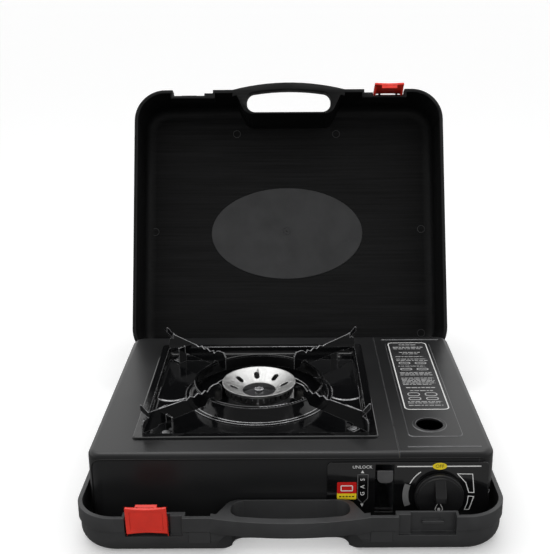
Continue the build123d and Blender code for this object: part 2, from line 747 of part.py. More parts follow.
def cover_ear_spans():
    """Y spans of the cover's two tabs and of the housing's ears outside them."""
    tabs = [(COVER_TAB_FRONT, COVER_TAB_FRONT + COVER_TAB_T), (COVER_TAB_BACK - COVER_TAB_T, COVER_TAB_BACK)]
    gap = FIT
    outside = [(tabs[0][0] - gap - COVER_TAB_T, tabs[0][0] - gap),
               (tabs[1][1] + gap, tabs[1][1] + gap + COVER_TAB_T)]
    return tabs, outside


def stove_housing():
    shell = hood(body_plan(0), STOVE_Z, STOVE_TOP, STOVE_TOP_R)
    shell -= hood(body_plan(-SHEET), STOVE_Z - CUT, STOVE_TOP - SHEET, STOVE_TOP_R - SHEET)
    lip = body_plan(-SHEET / 2) - body_plan(-LIP_W)
    shell += prism(lip, FLOOR_TOP, FLOOR_TOP + SHEET)
    bowl = TRAY_S / 2 - TRAY_RIM_W + OPENING_GAP
    shell -= prism(rounded(TRAY_X - bowl, TRAY_X + bowl, TRAY_Y - bowl, TRAY_Y + bowl,
                           TRAY_BOWL_R + OPENING_GAP), STOVE_TOP - CUT, STOVE_TOP + CUT)
    fold = STOVE_TOP - STOVE_TOP_R - FIT
    shell -= block(SEAM_X, STOVE_X + CUT, STOVE_FRONT - CUT, STOVE_BACK + CUT, fold, STOVE_TOP + CUT)
    shell -= block(INNER_WALL_X, STOVE_X + CUT, STOVE_FRONT - CUT, STOVE_BACK + CUT, SIDE_WALL_Z,
                   STOVE_TOP + CUT)
    shell -= block(STOVE_X - STOVE_R, STOVE_X + CUT, STOVE_FRONT - CUT, STOVE_BACK + CUT, COVER_LOW_Z - FIT,
                   STOVE_TOP + CUT)
    shell -= rod_y(KNOB_X, STOVE_FRONT - CUT, STOVE_FRONT + CUT, KNOB_Z, SHAFT_HOLE_D)
    shell -= block(LEVER_X - SLOT_W / 2, LEVER_X + SLOT_W / 2, STOVE_FRONT - CUT, STOVE_FRONT + CUT,
                   SLOT_Z0, SLOT_Z1)
    for row in range(VENT_ROWS):
        z = VENT_Z + row * VENT_RISE
        for n in range(VENTS):
            y = TRAY_Y + (n - (VENTS - 1) / 2) * VENT_STEP
            x = TRAY_X + (n - (VENTS - 1) / 2) * VENT_STEP
            shell -= block(-STOVE_X - CUT, -STOVE_X + CUT, y - VENT_L / 2, y + VENT_L / 2, z, z + VENT_H)
            shell -= block(x - VENT_L / 2, x + VENT_L / 2, STOVE_BACK - CUT, STOVE_BACK + CUT, z, z + VENT_H)
    shell += inner_wall()
    for y0, y1 in cover_ear_spans()[1]:
        ear = block(COVER_AXIS_X - COVER_TAB_R, STOVE_X - SHEET / 2, y0, y1, FLOOR_TOP + SHEET, SIDE_WALL_Z)
        ear += block(COVER_AXIS_X - COVER_TAB_R, COVER_AXIS_X + COVER_TAB_R, y0, y1, SIDE_WALL_Z - SHEET,
                     COVER_AXIS_Z)
        ear += rod_y(COVER_AXIS_X, y0, y1, COVER_AXIS_Z, 2 * COVER_TAB_R)
        shell += ear - rod_y(COVER_AXIS_X, y0 - CUT, y1 + CUT, COVER_AXIS_Z, COVER_PIN_D)
    return lone(shell)


def inner_wall():
    """Ledge on the right wall and the flange that rises from it, clear of the cover's tabs."""
    tabs, ears = cover_ear_spans()
    spans = [(tabs[0][1] + 2 * FIT, tabs[1][0] - 2 * FIT),
             (ears[0][0] - STOVE_R / 2, ears[0][0]), (ears[1][1], ears[1][1] + STOVE_R / 2)]
    wall = Part()
    for y0, y1 in spans:
        wall += block(INNER_WALL_X, INNER_WALL_X + SHEET, y0, y1, SIDE_WALL_Z - SHEET, INNER_WALL_Z)
        wall += block(INNER_WALL_X, STOVE_X - SHEET / 2, y0, y1, SIDE_WALL_Z - SHEET, SIDE_WALL_Z)
    return wall & hood(body_plan(-SHEET / 2), STOVE_Z, STOVE_TOP, STOVE_TOP_R)


def screw_places():
    """Where the floor's screws pass up into the lip."""
    x1 = STOVE_X - BODY_SCREW_INSET
    y0 = STOVE_FRONT + BODY_SCREW_INSET
    y1 = STOVE_BACK - BODY_SCREW_INSET
    row = (-STOVE_X + SCREW_LEFT_INSET, TRAY_X + SCREW_MID_OFF, STOVE_X - SCREW_RIGHT_INSET)
    return [(x, y) for x in row for y in (y0, y1)] + [(-x1, TRAY_Y), (x1, TRAY_Y)]


def bottom_plate():
    plate = prism(body_plan(-SHEET - FIT), STOVE_Z, FLOOR_TOP)
    half = CRADLE_R * math.sin(math.radians(CRADLE_ARC)) - 2 * SHEET
    plate -= block(BAY_X - half, BAY_X + half, CRADLE_FRONT - SHEET, CRADLE_BACK + SHEET, STOVE_Z - CUT,
                   FLOOR_TOP + CUT)
    for x, y in screw_places():
        plate -= rod_z(x, y, STOVE_Z - CUT, FLOOR_TOP + CUT, BODY_SCREW_D)
    for n in range(FLOOR_SLOTS):
        y = TRAY_Y + (n - (FLOOR_SLOTS - 1) / 2) * FLOOR_SLOT_STEP
        slot = rounded(TRAY_X - FLOOR_SLOT_X - FLOOR_SLOT_L / 2, TRAY_X - FLOOR_SLOT_X + FLOOR_SLOT_L / 2,
                       y - FLOOR_SLOT_W / 2, y + FLOOR_SLOT_W / 2, FLOOR_SLOT_W / 3)
        plate -= prism(slot, STOVE_Z - CUT, FLOOR_TOP + CUT)
    return lone(plate)


def housing_screws():
    """Screws driven up through the floor into the housing's lip."""
    made = []
    for x, y in screw_places():
        screw = rod_z(x, y, STOVE_Z, FLOOR_TOP, BODY_SCREW_D)
        screw += rod_z(x, y, STOVE_Z - BODY_SCREW_HEAD_H, STOVE_Z, BODY_SCREW_HEAD_D)
        made.append(screw)
    return group(made)


def rubber_feet():
    made = []
    for x in (-FOOT_X, FOOT_X):
        for y in (FOOT_Y_FRONT, FOOT_Y_BACK):
            foot = rod_z(x, y, CASE_WALL, STOVE_Z, FOOT_D)
            made.append(fillet(foot.edges().group_by(Axis.Z)[0], FOOT_EDGE_R))
    return group(made)


def control_panel():
    """Painted plate on the right of the front face."""
    face = Pos((CONTROL_X0 + CONTROL_X1) / 2, (CONTROL_Z0 + CONTROL_Z1) / 2)
    face = face * RectangleRounded(CONTROL_X1 - CONTROL_X0, CONTROL_Z1 - CONTROL_Z0, CONTROL_R)
    face -= Pos(KNOB_X, KNOB_Z) * Circle(SHAFT_HOLE_D / 2)
    face -= Pos(LEVER_X, (SLOT_Z0 + SLOT_Z1) / 2) * Rectangle(SLOT_W, SLOT_Z1 - SLOT_Z0)
    return along_y(face, STOVE_FRONT - CONTROL_T, STOVE_FRONT)


def partition_plate():
    """Upright sheet between the burner and the cartridge."""
    plate = block(PARTITION_X, PARTITION_X + SHEET, STOVE_FRONT + SHEET + FIT, STOVE_BACK - SHEET - FIT,
                  FLOOR_TOP + SHEET, STOVE_TOP - SHEET - STOVE_TOP_R)
    foot = block(PARTITION_X - PARTITION_FOOT, PARTITION_X + SHEET, STOVE_FRONT + LIP_W + SHEET,
                 STOVE_BACK - LIP_W - SHEET, FLOOR_TOP, FLOOR_TOP + SHEET)
    plate += foot
    jet = BURNER + TUBE_DIR * ((PARTITION_X - TRAY_X) / TUBE_DIR.X)
    plate -= rod_x(PARTITION_X - CUT, PARTITION_X + CUT, jet.Y, TUBE_Z, 2 * PIPE_D)
    plate -= rod_x(PARTITION_X - CUT, PARTITION_X + CUT, LEVER_AXIS_Y, LEVER_AXIS_Z,
                   LEVER_SHAFT_D + PIN_CLEAR)
    plate -= rod_x(PARTITION_X - CUT, PARTITION_X + CUT, PIEZO_Y, FLOOR_TOP + PIEZO_H / 2, 2 * LEAD_D)
    return lone(plate)


# ---------------------------------------------------------------- cartridge bay
def cartridge_cradle():
    """Pressed trough that the cartridge lies in, on two legs."""
    ring = Pos(BAY_X, BAY_Z) * (Circle(CRADLE_R + CRADLE_T) - Circle(CRADLE_R))
    half = CRADLE_R * math.sin(math.radians(CRADLE_ARC))
    edge_z = BAY_Z - CRADLE_R * math.cos(math.radians(CRADLE_ARC))
    keep = Pos(BAY_X, edge_z / 2) * Rectangle(2 * half + CRADLE_T, edge_z)
    section = ring & keep
    for side in (-1, 1):
        x = BAY_X + side * half
        section += Pos(x, (FLOOR_TOP + edge_z) / 2) * Rectangle(CRADLE_T, edge_z - FLOOR_TOP)
    return lone(along_y(section, CRADLE_FRONT, CRADLE_BACK))


def governor_body():
    """Die-cast pressure governor with the socket for the cartridge's nozzle."""
    body = rod_y(BAY_X, GOV_FRONT, GOV_BACK, BAY_Z, GOV_D)
    body = fillet(body.edges().group_by(Axis.Y)[-1], GOV_EDGE_R)
    body += rod_y(BAY_X, GOV_BACK, GOV_BACK + SOCKET_L, BAY_Z, SOCKET_D)
    body -= rod_y(BAY_X, GOV_BACK - SOCKET_L / 2, GOV_BACK + SOCKET_L + CUT, BAY_Z, SOCKET_BORE)
    for x, z in governor_screw_places():
        body -= rod_y(x, GOV_FRONT - CUT, GOV_FRONT + GOV_SCREW_L, z, GOV_SCREW_D)
    return lone(body)


def governor_screw_places():
    found = []
    for n in range(GOV_SCREWS):
        a = 2 * math.pi * (n + 0.5) / GOV_SCREWS
        found.append((BAY_X + GOV_SCREW_R * math.cos(a), BAY_Z + GOV_SCREW_R * math.sin(a)))
    return found


def governor_cover():
    cover = rod_y(BAY_X, GOV_FRONT - GOV_COVER_T, GOV_FRONT, BAY_Z, GOV_COVER_D)
    cover -= rod_y(KNOB_X, GOV_FRONT - GOV_COVER_T - CUT, GOV_FRONT + CUT, KNOB_Z, SHAFT_D + PIN_CLEAR)
    for x, z in governor_screw_places():
        cover -= rod_y(x, GOV_FRONT - GOV_COVER_T - CUT, GOV_FRONT + CUT, z, GOV_SCREW_D)
    return lone(cover)


def governor_screws():
    """Screws from behind the mounting plate through the cover into the body."""
    made = []
    for x, z in governor_screw_places():
        screw = rod_y(x, VALVE_PLATE_Y, GOV_FRONT + GOV_SCREW_L - SHEET, z, GOV_SCREW_D)
        screw += rod_y(x, VALVE_PLATE_Y - GOV_SCREW_HEAD_H, VALVE_PLATE_Y, z, GOV_SCREW_HEAD_D)
        made.append(screw)
    return group(made)


def valve_bracket():
    """Upright plate that holds the governor, with a foot on the stove's floor."""
    y0 = VALVE_PLATE_Y
    y1 = y0 + VALVE_PLATE_T
    half = GOV_COVER_D / 2 + VALVE_MARGIN
    plate = block(BAY_X - half, BAY_X + half, y0, y1, FLOOR_TOP, BAY_Z + half)
    plate += block(BAY_X - half, BAY_X + half, y0, y1 + VALVE_FOOT, FLOOR_TOP, FLOOR_TOP + VALVE_PLATE_T)
    plate -= rod_y(KNOB_X, y0 - CUT, y1 + CUT, KNOB_Z, SHAFT_HOLE_D)
    for x, z in governor_screw_places():
        plate -= rod_y(x, y0 - CUT, y1 + CUT, z, GOV_SCREW_D)
    return lone(plate)


def cartridge_guide():
    """Notched plate round the socket that the cartridge's collar keys into."""
    y0 = GOV_BACK + SOCKET_L - COLLAR_PLATE_T
    plate = rod_y(BAY_X, y0, y0 + COLLAR_PLATE_T, BAY_Z, COLLAR_PLATE_D)
    plate -= rod_y(BAY_X, y0 - CUT, y0 + CUT, BAY_Z, SOCKET_D)
    plate -= block(BAY_X - KEY_W / 2, BAY_X + KEY_W / 2, y0 - CUT, y0 + CUT,
                   BAY_Z + COLLAR_PLATE_D / 2 - KEY_H, BAY_Z + COLLAR_PLATE_D)
    plate += block(BAY_X - SOCKET_D / 2, BAY_X + SOCKET_D / 2, y0, y0 + COLLAR_PLATE_T, FLOOR_TOP,
                   BAY_Z - COLLAR_PLATE_D / 2 + KEY_H)
    return lone(plate)


def along_tube(r0, r1, diameter):
    """Level rod on the line from the burner to the jet."""
    start = BURNER + TUBE_DIR * r0
    plane = Plane(origin=(start.X, start.Y, TUBE_Z), z_dir=TUBE_DIR)
    return extrude(plane * Circle(diameter / 2), r1 - r0)


def mixing_tube():
    """Tube that draws air round the jet and leads the mixture to the burner."""
    tube = along_tube(BURNER_BOWL_D / 2 - BURNER_WALL / 2, TUBE_MOUTH_R, TUBE_OD)
    tube += along_tube(TUBE_MOUTH_R - 2 * TUBE_BELL, TUBE_MOUTH_R, TUBE_OD + TUBE_BELL)
    tube -= along_tube(0, TUBE_MOUTH_R + CUT, TUBE_OD - 2 * TUBE_WALL)
    hole = BURNER + TUBE_DIR * (TUBE_MOUTH_R - AIR_HOLE_IN)
    tube -= rod_z(hole.X, hole.Y, TUBE_Z - TUBE_OD, TUBE_Z + TUBE_OD, AIR_HOLE_D)
    return lone(tube)


def jet_nozzle():
    start = TUBE_MOUTH_R - JET_GAP
    jet = along_tube(start, start + JET_L, JET_D)
    jet = jet + along_tube(start + JET_L / 2, start + JET_L, JET_D + 2 * JET_RIM)
    return lone(jet - along_tube(start - CUT, start + JET_L - PIPE_D, JET_BORE))


def outlet_pipe():
    """Gas pipe from the governor to the jet."""
    start = TUBE_MOUTH_R - JET_GAP + JET_L
    solid = rod_y(BAY_X, GOV_FRONT - CUT, GOV_BACK + CUT, BAY_Z, GOV_D)
    pipe = along_tube(start, start + TUBE_MOUTH_R / 2, PIPE_D) - solid
    return pipe.solids().sort_by(Axis.X)[0]


# ---------------------------------------------------------------- burner
def burner_body():
    """Die-cast cup with the seat for the port ring and the neck for the tube."""
    bowl = BURNER_BOWL_D / 2
    flange = BURNER_FLANGE_D / 2
    wall = BURNER_WALL
    step = BURNER_FLANGE_Z + wall
    floor = BURNER_LOW + wall
    inner = flange - wall
    cup = turned([(0, BURNER_LOW), (bowl, BURNER_LOW), (bowl, BURNER_FLANGE_Z), (flange, BURNER_FLANGE_Z),
                  (flange, BURNER_TOP), (inner, BURNER_TOP), (inner, step), (bowl - wall, step),
                  (bowl - wall, floor), (0, floor)], TRAY_X, TRAY_Y)
    neck = along_tube(bowl - wall / 2, bowl + NECK_L, TUBE_OD + 2 * wall)
    cup += neck & rod_z(TRAY_X, TRAY_Y, BURNER_LOW, BURNER_FLANGE_Z, 4 * bowl)
    cup -= along_tube(bowl - wall / 2, bowl + NECK_L + CUT, TUBE_OD)
    cup -= along_tube(0, bowl + CUT, TUBE_OD - 2 * TUBE_WALL)
    cup += rod_z(TRAY_X, TRAY_Y, BURNER_LOW + wall / 2, bridge_seat() - BRIDGE_T, 2 * CAP_SCREW_D)
    cup -= rod_z(TRAY_X, TRAY_Y, BURNER_LOW + 2 * wall, PORT_TOP, CAP_SCREW_D)
    return lone(cup)


def burner_ring():
    """Port ring with a slot for each flame."""
    outer = PORT_D / 2
    inner = outer - PORT_WALL
    flange = BURNER_FLANGE_D / 2
    ring = turned([(inner, BURNER_TOP), (flange, BURNER_TOP), (outer, BURNER_TOP + PORT_SEAT),
                   (outer, PORT_TOP), (inner, PORT_TOP)], TRAY_X, TRAY_Y)
    slots = []
    for n in range(PORT_COUNT):
        slot = block(inner - CUT, outer + CUT, -PORT_SLOT_W / 2, PORT_SLOT_W / 2, PORT_TOP - PORT_SLOT_H,
                     PORT_TOP + CUT)
        slots.append(Pos(TRAY_X, TRAY_Y, 0) * Rot(0, 0, n * 360.0 / PORT_COUNT) * slot)
    return lone(ring - slots)


def bridge_seat():
    """Height of the bridge's upper face, where the screw's head sits."""
    return CAP_TOP - CAP_DROP - CAP_T


def burner_cap():
    """Dished cap with oval slots and a bridge for its screw."""
    outer = CAP_D / 2
    hole = CAP_HOLE_D / 2
    low = CAP_TOP - CAP_DROP
    port = PORT_D / 2
    ring_in = port - PORT_WALL
    slope = CAP_DROP / (outer - CAP_T - hole)
    cap = turned([(port, PORT_TOP), (outer, CAP_TOP - CAP_T), (outer, CAP_TOP), (outer - CAP_T, CAP_TOP),
                  (hole, low), (hole, low - CAP_T), (ring_in, low - CAP_T + slope * (ring_in - hole)),
                  (ring_in, PORT_TOP)], TRAY_X, TRAY_Y)
    slots = []
    for n in range(CAP_SLOTS):
        slot = prism(Pos(CAP_SLOT_R, 0) * SlotOverall(CAP_SLOT_L, CAP_SLOT_W), low - CUT, CAP_TOP + CUT)
        slots.append(Pos(TRAY_X, TRAY_Y, 0) * Rot(0, 0, CAP_SLOT_TURN + n * 360.0 / CAP_SLOTS) * slot)
    cap -= slots
    seat = bridge_seat()
    bridge = block(-hole - CAP_T, hole + CAP_T, -BRIDGE_W / 2, BRIDGE_W / 2, seat - BRIDGE_T, seat)
    bridge &= rod_z(0, 0, seat - CUT, seat + CUT, 2 * (hole + CAP_T))
    cap += Pos(TRAY_X, TRAY_Y, 0) * Rot(0, 0, BRIDGE_TURN) * bridge
    return lone(cap - rod_z(TRAY_X, TRAY_Y, BURNER_LOW, CAP_TOP, CAP_SCREW_D))


def burner_screw():
    seat = bridge_seat()
    screw = rod_z(TRAY_X, TRAY_Y, BURNER_FLANGE_Z, seat, CAP_SCREW_D)
    head = rod_z(TRAY_X, TRAY_Y, seat, seat + CAP_SCREW_HEAD_H, CAP_SCREW_HEAD_D)
    head = fillet(head.edges().group_by(Axis.Z)[-1], CAP_SCREW_HEAD_R)
    head -= block(TRAY_X - CAP_SCREW_HEAD_D, TRAY_X + CAP_SCREW_HEAD_D, TRAY_Y - CAP_SCREW_CUT_W / 2,
                  TRAY_Y + CAP_SCREW_CUT_W / 2, seat + CAP_SCREW_HEAD_H - CAP_SCREW_CUT_H, CAP_TOP)
    return lone(screw + head)


def burner_bracket():
    """Bent strip that carries the burner above the stove's floor."""
    t = BRACKET_T
    half = BRACKET_HALF
    toe = half + BRACKET_TOE
    points = [(-toe, FLOOR_TOP), (-half + t, FLOOR_TOP), (-half + t, BURNER_LOW - t),
              (half - t, BURNER_LOW - t), (half - t, FLOOR_TOP), (toe, FLOOR_TOP), (toe, FLOOR_TOP + t),
              (half, FLOOR_TOP + t), (half, BURNER_LOW), (-half, BURNER_LOW), (-half, FLOOR_TOP + t),
              (-toe, FLOOR_TOP + t)]
    section = Pos(TRAY_X, 0) * outline(points)
    return lone(along_y(section, TRAY_Y - BRACKET_W / 2, TRAY_Y + BRACKET_W / 2))


def heat_conductor():
    """Aluminium strip that carries a little heat from the burner to the cartridge."""
    top = BURNER_FLANGE_Z
    t = CONDUCTOR_T
    start = TRAY_X + CONDUCTOR_START
    section = outline([(start, top - t), (PARTITION_X - t, top - t), (PARTITION_X - t, CONDUCTOR_LOW),
                       (PARTITION_X, CONDUCTOR_LOW), (PARTITION_X, top), (start, top)])
    y = TRAY_Y + CONDUCTOR_Y
    strip = along_y(section, y - CONDUCTOR_W / 2, y + CONDUCTOR_W / 2)
    return lone(strip - rod_z(TRAY_X, TRAY_Y, BURNER_LOW, CAP_TOP, BURNER_BOWL_D))


# ---------------------------------------------------------------- ignition
def electrode_ceramic():
    """Ceramic tube with a collar."""
    body = rod_z(TRAY_X, ELECTRODE_Y, CERAMIC_LOW, CERAMIC_TOP, CERAMIC_D)
    body += rod_z(TRAY_X, ELECTRODE_Y, BURNER_FLANGE_Z, BURNER_FLANGE_Z + CERAMIC_COLLAR_H, CERAMIC_COLLAR_D)
    return lone(body)


def electrode_wire():
    wire = rod_z(TRAY_X, ELECTRODE_Y, CERAMIC_TOP, WIRE_TOP, WIRE_D)
    tip = rod_y(TRAY_X, ELECTRODE_Y, ELECTRODE_Y + WIRE_BEND, WIRE_TOP - WIRE_D / 2, WIRE_D)
    return lone(wire + tip)


def electrode_bracket():
    """Small plate from under the burner's flange to the ceramic."""
    z1 = BURNER_FLANGE_Z
    half = CERAMIC_D
    plate = block(TRAY_X - half, TRAY_X + half, ELECTRODE_Y - half, TRAY_Y, z1 - BRACKET_T, z1)
    plate -= rod_z(TRAY_X, ELECTRODE_Y, z1 - CUT, z1 + CUT, CERAMIC_D)
    return lone(plate - rod_z(TRAY_X, TRAY_Y, BURNER_LOW, CAP_TOP, BURNER_BOWL_D))


def piezo_igniter():
    """Closed igniter, its plunger under the cam."""
    top = FLOOR_TOP + PIEZO_H
    box = block(PIEZO_X0, PIEZO_X1, PIEZO_Y - PIEZO_W / 2, PIEZO_Y + PIEZO_W / 2, FLOOR_TOP, top)
    box = fillet(box.edges().filter_by(Axis.X), PIEZO_R)
    return lone(box + rod_z(KNOB_X, PIEZO_Y, top, top + PLUNGER_H, PLUNGER_D))


def ignition_lead():
    """High-tension lead along the stove's floor from the igniter to the electrode."""
    start = Vector(PIEZO_X0, PIEZO_Y, FLOOR_TOP + PIEZO_H / 2)
    way = Vector(TRAY_X - start.X, ELECTRODE_Y - start.Y, 0)
    points = [start]
    for along, across in LEAD_KNOTS:
        z = start.Z if across == 0 else LEAD_Z
        points.append(Vector(start.X + along * way.X, start.Y + across * way.Y, z))
    points += [Vector(TRAY_X, ELECTRODE_Y, LEAD_Z), Vector(TRAY_X, ELECTRODE_Y, CERAMIC_LOW)]
    radii = []
    for a, b, c in zip(points, points[1:], points[2:]):
        turn = math.radians((b - a).get_angle(c - b))
        run = min((b - a).length, (c - b).length)
        radii.append(min(LEAD_BEND_SHARE * run / math.tan(turn / 2), LEAD_BEND_R))
    path = FilletPolyline(*points, radius=radii)
    print("ignition_lead radii", [round(r, 1) for r in radii])
    section = Plane(origin=start, z_dir=(-1, 0, 0)) * Circle(LEAD_D / 2)
    return sweep(section, path=path)


# ---------------------------------------------------------------- controls
def control_knob():
    """Knob with its off mark up: skirt, face and a wedge of a bar on its upper half."""
    y = KNOB_BACK
    knob = rod_y(KNOB_X, y - KNOB_SKIRT, y, KNOB_Z, KNOB_D)
    knob = fillet(knob.edges().group_by(Axis.Y)[0], KNOB_EDGE_R)
    knob += rod_y(KNOB_X, y - KNOB_SKIRT - KNOB_FACE, y - KNOB_SKIRT, KNOB_Z, KNOB_FACE_D)
    face = y - KNOB_SKIRT - KNOB_FACE
    side = outline([(face + BAR_SUNK, KNOB_Z + BAR_TOP), (face, KNOB_Z + BAR_TOP),
                    (KNOB_FRONT, KNOB_Z + BAR_CREST), (KNOB_FRONT, KNOB_Z + BAR_NOSE),
                    (face, KNOB_Z + BAR_FOOT), (face + BAR_SUNK, KNOB_Z + BAR_FOOT)])
    bar = along_x(side, KNOB_X - KNOB_BAR_W / 2, KNOB_X + KNOB_BAR_W / 2)
    proud = [e for e in bar.edges() if e.center().Y < face - BAR_SUNK]
    knob += fillet(proud, KNOB_BAR_R)
    knob -= rod_y(KNOB_X, y - KNOB_SKIRT - KNOB_FACE, y + CUT, KNOB_Z, SHAFT_D)
    return lone(knob)


def knob_shaft():
    return rod_y(KNOB_X, KNOB_BACK - KNOB_SKIRT - KNOB_FACE, GOV_FRONT, KNOB_Z, SHAFT_D)


def igniter_cam():
    """Cam on the knob's shaft that cocks and trips the igniter."""
    y = PIEZO_Y
    cam = rod_y(KNOB_X, y - CAM_T / 2, y + CAM_T / 2, KNOB_Z, CAM_D)
    cam += rod_y(KNOB_X - CAM_THROW, y - CAM_T / 2, y + CAM_T / 2, KNOB_Z + CAM_THROW, CAM_LOBE_D)
    return lone(cam - rod_y(KNOB_X, y - CAM_T, y + CAM_T, KNOB_Z, SHAFT_D))


def lever_turn(part):
    """Raises the lever from level to its unlocked place."""
    return part.rotate(Axis((0, LEVER_AXIS_Y, LEVER_AXIS_Z), (1, 0, 0)), -LEVER_UP)


def lock_lever():
    """Lever with a thumb tab in front and a crank inside the cartridge bay."""
    x0 = LEVER_X - LEVER_W / 2
    tab_y = LEVER_AXIS_Y - LEVER_ARM
    boss = LEVER_SHAFT_D + LEVER_BOSS
    arm = block(LEVER_X - LEVER_T / 2, LEVER_X + LEVER_T / 2, tab_y, LEVER_AXIS_Y,
                LEVER_AXIS_Z - LEVER_ARM_H / 2, LEVER_AXIS_Z + LEVER_ARM_H / 2)
    arm += rod_x(LEVER_X - LEVER_T, LEVER_X + LEVER_T, LEVER_AXIS_Y, LEVER_AXIS_Z, boss)
    tab_z = LEVER_AXIS_Z - TAB_DROP
    tab = block(x0, x0 + LEVER_W, tab_y - LEVER_T, tab_y, tab_z, tab_z + TAB_H)
    tab = fillet(tab.edges().filter_by(Axis.Y).group_by(Axis.Z)[0], TAB_R)
    arm += fillet(tab.edges().group_by(Axis.Y)[0], TAB_EDGE_R)
    arm -= rod_x(x0, x0 + LEVER_W, LEVER_AXIS_Y, LEVER_AXIS_Z, LEVER_SHAFT_D)
    return lever_turn(lone(arm))


def crank_x():
    """Inner face of the crank, beside the draw strip."""
    return strip_x() + STRIP_T + FIT


def lever_shaft():
    """Shaft from the lever through the partition to the crank."""
    x0 = crank_x()
    left = LEVER_X - LEVER_W / 2 + LEVER_SHAFT_IN
    shaft = rod_x(left, x0 + CRANK_T, LEVER_AXIS_Y, LEVER_AXIS_Z, LEVER_SHAFT_D)
    crank = block(x0, x0 + CRANK_T, LEVER_AXIS_Y - CRANK_W / 2, LEVER_AXIS_Y + CRANK_W / 2, LEVER_AXIS_Z,
                  LEVER_AXIS_Z + CRANK_R + CRANK_END)
    pin = rod_x(strip_x(), x0 + CRANK_T, LEVER_AXIS_Y, LEVER_AXIS_Z + CRANK_R, CRANK_PIN_D)
    return lever_turn(lone(shaft + crank + pin))


def strip_x():
    """Near face of the draw strip, beside the partition."""
    return PARTITION_X + SHEET + FIT


def cartridge_pusher():
    """Draw strip along the partition and the plate that pushes the cartridge forward."""
    pin_y = LEVER_AXIS_Y + CRANK_R * math.sin(math.radians(LEVER_UP))
    z_mid = LEVER_AXIS_Z + CRANK_R
    x = strip_x()
    strip = block(x, x + STRIP_T, pin_y - STRIP_END, PUSHER_Y, z_mid - STRIP_H / 2, z_mid + STRIP_H / 2)
    strip -= block(x - CUT, x + CUT, pin_y - STRIP_SLOT_W / 2, pin_y + STRIP_SLOT_W / 2,
                   z_mid - STRIP_H / 2 + STRIP_SLOT_END, z_mid + STRIP_H / 2 - STRIP_SLOT_END)
    travel = 2 * CRANK_R * math.sin(math.radians(LEVER_UP))
    pipe_y = TRAY_Y + (x - TRAY_X) * math.tan(TUBE_TURN)
    strip -= block(x - CUT, x + CUT, pipe_y - PIPE_D, pipe_y + PIPE_D + travel, z_mid - STRIP_H,
                   TUBE_Z + PIPE_D / 2 + PIPE_ROOM)
    strip += block(x, BAY_X + CRADLE_R - PUSHER_INSET, PUSHER_Y - STRIP_T, PUSHER_Y, FLOOR_TOP + 2 * SHEET,
                   z_mid + STRIP_H / 2)
    return lone(strip)


# ---------------------------------------------------------------- tray and pan supports
def square(half, radius):
    return rounded(TRAY_X - half, TRAY_X + half, TRAY_Y - half, TRAY_Y + half, radius)


def drip_tray():
    """Enamelled tray: a rolled rim on the stove's top and a shallow bowl in its opening."""
    half = TRAY_S / 2
    bowl = half - TRAY_RIM_W
    t = TRAY_SHEET
    tray = prism(square(half, TRAY_R), STOVE_TOP, STOVE_TOP + TRAY_RIM_H)
    tray = fillet(tray.edges().group_by(Axis.Z)[-1], TRAY_RIM_R)
    tray += tub(square(bowl, TRAY_BOWL_R), TRAY_FLOOR, STOVE_TOP + TRAY_RIM_H / 2, BOWL_R)
    tray -= tub(square(bowl - t, TRAY_BOWL_R - t), TRAY_FLOOR + t, STOVE_TOP + TRAY_RIM_H + CUT,
                BOWL_R - t)
    tray -= rod_z(TRAY_X, TRAY_Y, TRAY_FLOOR - CUT, STOVE_TOP, TRAY_HOLE_D)
    collar_d = COLLAR_D_LOW + 2 * COLLAR_FLANGE + 2 * FIT
    floor = TRAY_FLOOR + t
    for side in (-1, 1):
        relief = rod_z(TRAY_X + side * RELIEF_X, TRAY_Y, TRAY_FLOOR + t / 2, floor + RELIEF_H, RELIEF_D)
        relief &= prism(square(half - TRAY_RIM_W - t, TRAY_BOWL_R - t), TRAY_FLOOR, STOVE_TOP)
        tray += relief - rod_z(TRAY_X, TRAY_Y, TRAY_FLOOR, STOVE_TOP, collar_d)
    for n in range(BLADES):
        x, y = rivet_place(n)
        tray -= rod_z(x, y, TRAY_FLOOR - CUT, STOVE_TOP, RIVET_D)
    return lone(tray)


def support_ring():
    """Conical collar round the burner, with a flange on the tray and a rolled top."""
    low = COLLAR_D_LOW / 2
    top = COLLAR_D_TOP / 2
    floor = TRAY_FLOOR + TRAY_SHEET
    t = COLLAR_T
    edge = low + COLLAR_FLANGE
    ring = turned([(low - t, floor), (edge, floor), (edge, floor + t), (low, floor + t), (top, COLLAR_TOP),
                   (top - t, COLLAR_TOP), (low - t, floor + t)], TRAY_X, TRAY_Y)
    bead = Plane.XZ * Pos(top - t / 2, COLLAR_TOP) * Circle(COLLAR_BEAD)
    ring += Pos(TRAY_X, TRAY_Y, 0) * revolve(bead, Axis.Z)
    return lone(ring)


def blade_place(n):
    """Where the n-th blade stands, clockwise from the front left."""
    return Pos(TRAY_X, TRAY_Y, 0) * Rot(0, 0, BLADE_FIRST - n * 360.0 / BLADES)


def rivet_place(n):
    """Plan point of the rivet in the n-th blade's foot."""
    place = blade_place(n) * Pos(BLADE_FOOT_R + FOOT_L / 2, LEG_W / 2, 0)
    return place.position.X, place.position.Y


